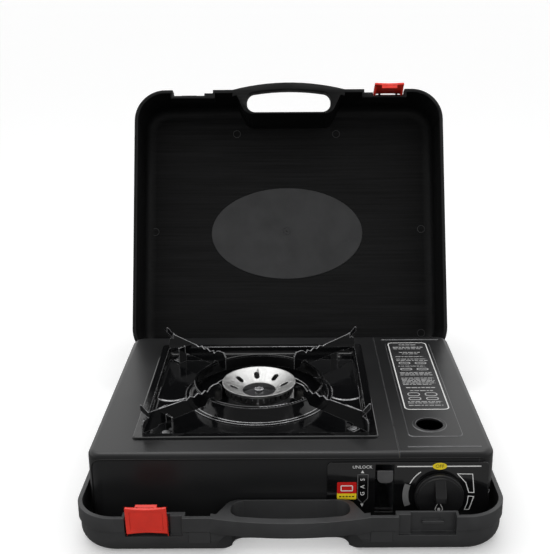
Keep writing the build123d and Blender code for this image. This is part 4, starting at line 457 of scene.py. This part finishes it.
# ------------------------------------------------------------------ control panel
# A glossy black painted plate is pressed on the front of the body. Its marks are screen-printed in
# white and grey: the knob's dial, and the lever's gas and unlock signs. A small red and yellow label
# is stuck on.
PANEL_Y = -0.126
KNOB_X = 0.1255
KNOB_Z = 0.0385
PRINT_RISE = 0.00006
panel_black = finish("panel_black", (0.004, 0.004, 0.0043), 0.10, patches=40.0, uneven=0.03,
                     grain=500.0, relief=0.03, scuffs=0.3, mirror=1.0)
print_white = finish("print_white", (0.74, 0.74, 0.73), 0.5, patches=220.0, tone=0.06, relief=0.02,
                     scuffs=0.6)
print_grey = finish("print_grey", (0.16, 0.16, 0.16), 0.5, patches=220.0, tone=0.06, relief=0.02,
                    scuffs=0.6)
print_black = finish("print_black", (0.01, 0.01, 0.01), 0.5, patches=220.0, relief=0.02)
print_yellow = finish("print_yellow", (0.86, 0.66, 0.02), 0.4, patches=120.0, tone=0.05, relief=0.02)
print_red = finish("print_red", (0.55, 0.012, 0.01), 0.3, patches=120.0, tone=0.05, relief=0.02)
dress(panel_black, 0.0003, "control_panel")


def upright(x, z, turn=0.0):
    """Where a print's own middle goes on the panel, x to the right and y up."""
    return (Matrix.Translation((x, PANEL_Y, z)) @ Matrix.Rotation(math.pi / 2, 4, "X")
            @ Matrix.Rotation(turn, 4, "Z"))


def printed(name, bm, place, finish_of, body="stove", slot="panel_paint", raised=PRINT_RISE):
    """Gives a flat print a hair of thickness on the face it is printed on."""
    bm.normal_update()
    bmesh.ops.solidify(bm, geom=bm.faces[:], thickness=raised)
    low = min(v.co.z for v in bm.verts)
    bmesh.ops.translate(bm, verts=bm.verts[:], vec=(0, 0, -low))
    return piece(name, bm, place, finish_of, body, slot)


def lettering(name, words, height, place, finish_of, body="stove", slot="panel_paint"):
    """Printed capitals of that height, centred on a place."""
    type_set = bpy.data.curves.new(name, "FONT")
    type_set.body = words
    type_set.align_x = "CENTER"
    type_set.align_y = "CENTER"
    type_set.size = height / 0.72
    type_set.extrude = 0.00004
    type_set.resolution_u = 3
    holder = bpy.data.objects.new(name + "_type", type_set)
    bpy.context.collection.objects.link(holder)
    ready = bpy.context.evaluated_depsgraph_get()
    shaped = bpy.data.meshes.new_from_object(holder.evaluated_get(ready))
    bpy.data.objects.remove(holder)
    bm = bmesh.new()
    bm.from_mesh(shaped)
    bpy.data.meshes.remove(shaped)
    bmesh.ops.remove_doubles(bm, verts=bm.verts[:], dist=MERGE_WITHIN)
    return piece(name, bm, place, finish_of, body, slot)


OFF_Z = 0.0653
OFF_LINE_Z = 0.0652
off_line = bmesh.new()
patch(off_line, 0.0325, 0.0010, 0.0002, x=-0.0195)
patch(off_line, 0.0287, 0.0010, 0.0002, x=0.0204)
printed("print_off_line", off_line, upright(KNOB_X, OFF_LINE_Z), print_white)
off_mark = bmesh.new()
bmesh.ops.create_circle(off_mark, cap_ends=True, segments=48, radius=1.0,
                        matrix=Matrix.Diagonal((0.0061, 0.0032, 1, 1)))
off_place = upright(KNOB_X, OFF_Z)
printed("print_off_oval", off_mark, off_place, print_yellow, raised=2 * PRINT_RISE)
lettering("print_off_word", "OFF", 0.0031, off_place @ Matrix.Translation((0, 0, 0.00014)), print_black)


def arc(bm, r0, r1, start, end, steps=24):
    """Adds a flat band round the knob between two angles from its right, in degrees."""
    a = math.radians(start)
    ends = [bm.verts.new((r * math.cos(a), r * math.sin(a), 0)) for r in (r0, r1)]
    edge = bm.edges.new(ends)
    bmesh.ops.spin(bm, geom=ends + [edge], cent=(0, 0, 0), axis=(0, 0, 1),
                   angle=math.radians(end - start), steps=steps)


LINE_RADII = (0.0262, 0.0270)
BAND_RADII = (0.0256, 0.0306)
dial = bmesh.new()
arc(dial, *LINE_RADII, 126, 157)
printed("print_dial_line", dial, upright(KNOB_X, KNOB_Z), print_white)
dial = bmesh.new()
arc(dial, *BAND_RADII, 160, 202)
printed("print_dial_band", dial, upright(KNOB_X, KNOB_Z), print_grey)
HIGH_WEDGE = ((0.0145, 0.0199), (0.0282, 0.0196), (0.0303, 0.0014), (0.0253, 0.0014),
              (0.0222, 0.0110))
LOW_WEDGE = ((0.0249, -0.0013), (0.0303, -0.0019), (0.0267, -0.0150), (0.0222, -0.0150),
             (0.0243, -0.0080))
wedges = bmesh.new()
for corners in (HIGH_WEDGE, LOW_WEDGE):
    wedges.faces.new([wedges.verts.new((x, y, 0)) for x, y in corners])
WEDGE_LINE = 0.0007
outlined(wedges, WEDGE_LINE)
printed("print_dial_wedges", wedges, upright(KNOB_X, KNOB_Z), print_white)

lettering("print_unlock_word", "UNLOCK", 0.0029, upright(0.0607, 0.0648), print_white)
for letter, along in (("G", 0.0396), ("A", 0.0462), ("S", 0.0530)):
    lettering("print_gas_" + letter.lower(), letter, 0.0037, upright(0.0611, along, math.pi / 2),
              print_white)
arrows = bmesh.new()
for base, tip in ((0.0592, 0.0618), (0.0300, 0.0270)):
    arrows.faces.new([arrows.verts.new(corner) for corner in
                      ((-0.0014, base, 0), (0.0014, base, 0), (0, tip, 0))])
printed("print_arrows", arrows, upright(0.0608, 0.0), print_white)
GAS_LINE = 0.0004
gas_frame = bmesh.new()
gas_frame.faces.new([gas_frame.verts.new((x, y, 0)) for x, y in
                     ((-0.0045, 0.0115), (-0.0045, -0.0115), (0, -0.0165), (0.0045, -0.0115),
                      (0.0045, 0.0115))])
outlined(gas_frame, GAS_LINE)
printed("print_gas_frame", gas_frame, upright(0.0612, 0.0464), print_grey)

STICKER_X = 0.0477
STICKER_W = 0.0164
label = bmesh.new()
patch(label, STICKER_W, STICKER_W, 0.0010)
printed("label_yellow", label, upright(STICKER_X, 0.0424), print_yellow, raised=0.0001)
label = bmesh.new()
patch(label, STICKER_W, 0.0108, 0.0009)
printed("label_red", label, upright(STICKER_X, 0.0453), print_red, raised=0.0002)
label = bmesh.new()
patch(label, 0.0104, 0.0056, 0.0008)
outlined(label, 0.0008)
printed("label_frame", label, upright(STICKER_X, 0.0449), print_white, raised=0.0003)
label = bmesh.new()
for along in range(5):
    patch(label, 0.0017, 0.0011, 0.0, x=-0.0054 + 0.0027 * along)
printed("label_dashes", label, upright(STICKER_X, 0.0370), print_black, raised=0.0002)

# ------------------------------------------------------------------ knob
# The knob is moulded in black ABS with a wedge of a grip bar on its upper half and a small flame
# printed below. It presses on a steel shaft that also carries the igniter's cam.
FLAME_R = 0.0034
KNOB_FACE = 0.0076
knob_black = finish("knob_black", (0.0105, 0.0105, 0.011), 0.34, patches=80.0, grain=1400.0,
                    relief=0.1)
dress(knob_black, 0.0003, "control_knob")
dress(pin_steel, 0.0002, "knob_shaft")
dress(igniter_black, 0.0003, "igniter_cam")
flame = bmesh.new()
bmesh.ops.create_circle(flame, cap_ends=True, segments=28, radius=FLAME_R)
for v in flame.verts:
    if v.co.y > 0:
        rise = v.co.y / FLAME_R
        v.co.x *= 1.0 - 0.55 * rise
        v.co.y *= 1.9
outlined(flame, 0.0006)
bmesh.ops.create_circle(flame, cap_ends=True, segments=16, radius=0.0012,
                        matrix=Matrix.Translation((0, -0.0008, 0)) @ Matrix.Diagonal((1, 1.5, 1, 1)))
printed("knob_flame", flame,
        Matrix.Translation((0, -KNOB_FACE, 0)) @ upright(KNOB_X - 0.0006, KNOB_Z - 0.0092),
        print_white, "control_knob", "knob_plastic")

# ------------------------------------------------------------------ lock lever
# A black lever swings down in a slot in the panel. Its crank pulls a galvanised strip that seats
# and locks the cartridge on the governor.
lever_grey = finish("lever_grey", (0.050, 0.050, 0.051), 0.42, patches=120.0, grain=1500.0,
                    relief=0.12)
dress(lever_grey, 0.0004, "lock_lever")
dress(pin_steel, 0.0002, "lever_shaft")
dress(zinc, 0.0002, "cartridge_pusher")


# ------------------------------------------------------------------ drip tray and pan supports
# Tray, raised ring and the four folded pan supports are pressed steel in glossy black enamel; a bright,
# metallic finish on their edges is painted highlight over some wear. Steel rivets hold the supports to
# the tray.
def enamel_finish():
    """Glossy black enamel with slow waves in its surface, patchy gloss and light scuffs."""
    made = bpy.data.materials.new("black_enamel")
    made.use_nodes = True
    tree = made.node_tree
    shader = tree.nodes["Principled BSDF"]
    place = wire(tree, "ShaderNodeTexCoord").outputs["Object"]
    skin = wire(tree, "ShaderNodeGroup", {"node_tree": skin_effect},
                {"Position": place, "Patches": 30.0, "Grain": 110.0})
    scuff = wire(tree, "ShaderNodeGroup", {"node_tree": scuff_effect},
                 {"Position": place, "Spread": 30.0})
    dusty = wire(tree, "ShaderNodeMath", {"operation": "MULTIPLY"},
                 {0: scuff.outputs["Scuff"], 1: 0.35})
    tone = wire(tree, "ShaderNodeMix", {"data_type": "RGBA"},
                {0: dusty.outputs["Value"], 6: (0.0035, 0.0036, 0.004, 1), 7: (0.03, 0.03, 0.03, 1)})
    gloss = wire(tree, "ShaderNodeMapRange", None,
                 {"Value": skin.outputs["Patch"], "To Min": 0.07, "To Max": 0.16})
    bump = wire(tree, "ShaderNodeBump", None,
                {"Height": skin.outputs["Relief"], "Strength": 0.12, "Distance": 0.0008})
    tree.links.new(tone.outputs[2], shader.inputs["Base Color"])
    tree.links.new(gloss.outputs["Result"], shader.inputs["Roughness"])
    tree.links.new(bump.outputs["Normal"], shader.inputs["Normal"])
    return made


enamel = enamel_finish()
# a bright, metallic grey for the enamel's bevels: painted highlight along the edges, with scuffs
enamel_edge_highlight = finish("enamel_edge_highlight", (0.32, 0.32, 0.325), 0.26, 0.75, patches=110.0, tone=0.45,
                     relief=0.05, scuffs=0.5)
dress(enamel, 0.0005, "drip_tray", "support_ring", wear_and_edge_highlight=enamel_edge_highlight)
dress(enamel, 0.00045, "pan_support_front_left", "pan_support_back_left", "pan_support_back_right",
      "pan_support_front_right", wear_and_edge_highlight=enamel_edge_highlight)
dress(pin_steel, 0.0003, "support_rivets")

# ------------------------------------------------------------------ cartridge cover
# The cover is a second drawn sheet in the body's charcoal, hinged on two pins at its outer side. Its
# raised panel has a viewing hole and carries a bare, ruled label.
# its bevels take the same brighter finish: painted highlight along the cover's edges
dress(body_grey, 0.0004, "cartridge_cover", wear_and_edge_highlight=body_edge_highlight)
dress(pin_steel, 0.0001, "cover_hinge_pins")
label_grey = finish("label_grey", (0.42, 0.42, 0.42), 0.5, patches=220.0, tone=0.1, relief=0.02,
                    scuffs=0.6)
label_black = finish("label_black", (0.011, 0.011, 0.012), 0.45, patches=120.0, relief=0.03)
COVER_TOP = 0.0775
LABEL_X = 0.1262
LABEL_Y = 0.0380
LABEL_SIZE = (0.0415, 0.1640, 0.0050)
LABEL_THICK = 0.0001
LABEL_LINE = 0.0011
DASH_GAP = 0.0009


def lying(x, y, lift=0.0):
    """Where a print's own middle goes on the cover's raised panel."""
    return Matrix.Translation((x, y, COVER_TOP + lift))


sheet = bmesh.new()
patch(sheet, *LABEL_SIZE)
printed("cover_label", sheet, lying(LABEL_X, LABEL_Y), label_black, "cartridge_cover", "body_paint",
        raised=LABEL_THICK)
sheet = bmesh.new()
patch(sheet, *LABEL_SIZE)
outlined(sheet, LABEL_LINE)
printed("cover_label_border", sheet, lying(LABEL_X, LABEL_Y, LABEL_THICK), print_white,
        "cartridge_cover", "body_paint")

# each row of the label's text: its place along the label, its two ends, and its height
rules = bmesh.new()
row_ends = (
    (0.1135, -0.009, 0.009, 0.0016), (0.1068, -0.016, 0.016, 0.0020), (0.1025, -0.016, 0.013, 0.0013),
    (0.0925, -0.011, 0.011, 0.0016), (0.0885, -0.008, 0.008, 0.0013), (0.0810, -0.016, 0.013, 0.0013),
    (0.0745, -0.016, 0.015, 0.0013), (0.0705, -0.016, 0.016, 0.0013), (0.0560, -0.016, 0.011, 0.0012),
    (0.0400, -0.016, 0.016, 0.0012), (0.0370, -0.016, 0.015, 0.0012), (0.0340, -0.016, 0.016, 0.0012),
    (0.0265, -0.016, 0.016, 0.0012), (0.0235, -0.016, 0.014, 0.0012), (0.0205, -0.016, 0.016, 0.0012),
    (0.0175, -0.016, 0.015, 0.0012), (0.0145, -0.016, 0.016, 0.0012), (0.0115, -0.016, 0.012, 0.0012),
    (0.0040, -0.014, 0.014, 0.0018), (-0.0030, -0.011, 0.011, 0.0014), (-0.0270, -0.016, 0.016, 0.0012),
    (-0.0300, -0.016, 0.014, 0.0012), (-0.0350, -0.016, 0.016, 0.0012),
)
for row, (high, left, right, tall) in enumerate(row_ends):
    x = left
    step = 0
    while x < right:
        dash = min(right - x, 0.0022 + 0.0011 * ((row * 3 + step * 5) % 4))
        patch(rules, dash, tall, 0.0, x=x + dash / 2, y=high - LABEL_Y)
        x += dash + DASH_GAP
        step += 1
for x, y, wide, high in ((-0.0085, 0.0640, 0.0120, 0.0052), (0.0080, 0.0640, 0.0120, 0.0052),
                         (-0.0085, 0.0485, 0.0120, 0.0052), (0.0080, 0.0485, 0.0120, 0.0052),
                         (-0.0085, -0.0110, 0.0120, 0.0078), (0.0080, -0.0110, 0.0120, 0.0078),
                         (-0.0085, -0.0205, 0.0120, 0.0062), (0.0080, -0.0205, 0.0120, 0.0062)):
    box = bmesh.new()
    patch(box, wide, high, high / 2.2)
    outlined(box, LABEL_LINE)
    bmesh.ops.translate(box, verts=box.verts[:], vec=(x, y - LABEL_Y, 0))
    kept = bpy.data.meshes.new("label_box")
    box.to_mesh(kept)
    box.free()
    rules.from_mesh(kept)
    bpy.data.meshes.remove(kept)
printed("cover_label_rules", rules, lying(LABEL_X, LABEL_Y, LABEL_THICK), label_grey,
        "cartridge_cover", "body_paint")

# ------------------------------------------------------------------ studio
# A plain pale floor, under a broad lamp overhead, a strip lamp above the lid, a soft fill from the
# front and a white surround. The floor looks white, but casts back less light than it shows.
FLOOR_SEEN = (0.97, 0.97, 0.97, 1)
FLOOR_CAST = (0.25, 0.25, 0.25, 1)
FLOOR_GLOW = (0.19, 0.19, 0.19, 1)
FLOOR_HALF = 30.0
floor_pale = finish("floor_pale", (0.97, 0.97, 0.97), 0.9, patches=3.0, tone=0.0, relief=0.0,
                    scuffs=0.0, mirror=0.0)
tree = floor_pale.node_tree
shader = tree.nodes["Principled BSDF"]
seen = wire(tree, "ShaderNodeLightPath").outputs
floor_tone = wire(tree, "ShaderNodeMix", {"data_type": "RGBA"},
                  {0: seen["Is Camera Ray"], 6: FLOOR_CAST, 7: FLOOR_SEEN})
tree.links.new(floor_tone.outputs[2], shader.inputs["Base Color"])
tree.links.new(seen["Is Camera Ray"], shader.inputs["Emission Strength"])
shader.inputs["Emission Color"].default_value = FLOOR_GLOW
ground = bmesh.new()
bmesh.ops.create_grid(ground, x_segments=1, y_segments=1, size=FLOOR_HALF)
floor_mesh = bpy.data.meshes.new("studio_floor")
ground.to_mesh(floor_mesh)
ground.free()
floor_mesh.materials.append(floor_pale)
floor = bpy.data.objects.new("studio_floor", floor_mesh)
bpy.context.collection.objects.link(floor)

lamp_data = bpy.data.lights.new("overhead_lamp", "SUN")
lamp_data.energy = 0.35
lamp_data.angle = math.radians(55)
lamp = bpy.data.objects.new("overhead_lamp", lamp_data)
lamp.matrix_world = (Matrix.Rotation(math.radians(-12), 4, "Y")
                     @ Matrix.Rotation(math.radians(-16), 4, "X"))
bpy.context.collection.objects.link(lamp)

strip_data = bpy.data.lights.new("strip_lamp", "AREA")
strip_data.shape = "RECTANGLE"
strip_data.size = 1.3
strip_data.size_y = 0.4
strip_data.energy = 3.8
strip = bpy.data.objects.new("strip_lamp", strip_data)
strip.matrix_world = Matrix.Translation((0.0, 0.36, 1.15))
bpy.context.collection.objects.link(strip)

fill_data = bpy.data.lights.new("front_fill", "SUN")
fill_data.energy = 1.0
fill_data.angle = math.radians(70)
fill = bpy.data.objects.new("front_fill", fill_data)
fill.matrix_world = Matrix.Rotation(math.radians(62), 4, "X")
fill.visible_glossy = False
bpy.context.collection.objects.link(fill)

# The surround is white where it is seen and to the sides, and dim in mirror images towards the front.
SURROUND_LIGHT = 0.56
MIRROR_FRONT = 0.2
world = bpy.data.worlds.new("studio")
world.use_nodes = True
bpy.context.scene.world = world
tree = world.node_tree
seen = wire(tree, "ShaderNodeLightPath").outputs
towards = wire(tree, "ShaderNodeSeparateXYZ", None,
               {"Vector": wire(tree, "ShaderNodeTexCoord").outputs["Generated"]})
surround = wire(tree, "ShaderNodeMapRange", {"interpolation_type": "SMOOTHSTEP"},
                {"Value": towards.outputs["Y"], "From Min": -0.8, "From Max": 0.1,
                 "To Min": MIRROR_FRONT, "To Max": 1.0})
mirrored = wire(tree, "ShaderNodeMix", {"data_type": "FLOAT"},
                {0: seen["Is Glossy Ray"], 2: SURROUND_LIGHT, 3: surround.outputs["Result"]})
direct = wire(tree, "ShaderNodeMath", {"operation": "MAXIMUM"},
              {0: seen["Is Camera Ray"], 1: seen["Is Transmission Ray"]})
level = wire(tree, "ShaderNodeMix", {"data_type": "FLOAT"},
             {0: direct.outputs["Value"], 2: mirrored.outputs["Result"], 3: 1.0})
tree.links.new(level.outputs["Result"], tree.nodes["Background"].inputs["Strength"])
tree.nodes["Background"].inputs["Color"].default_value = (1, 1, 1, 1)
bpy.context.scene.view_settings.view_transform = "Standard"
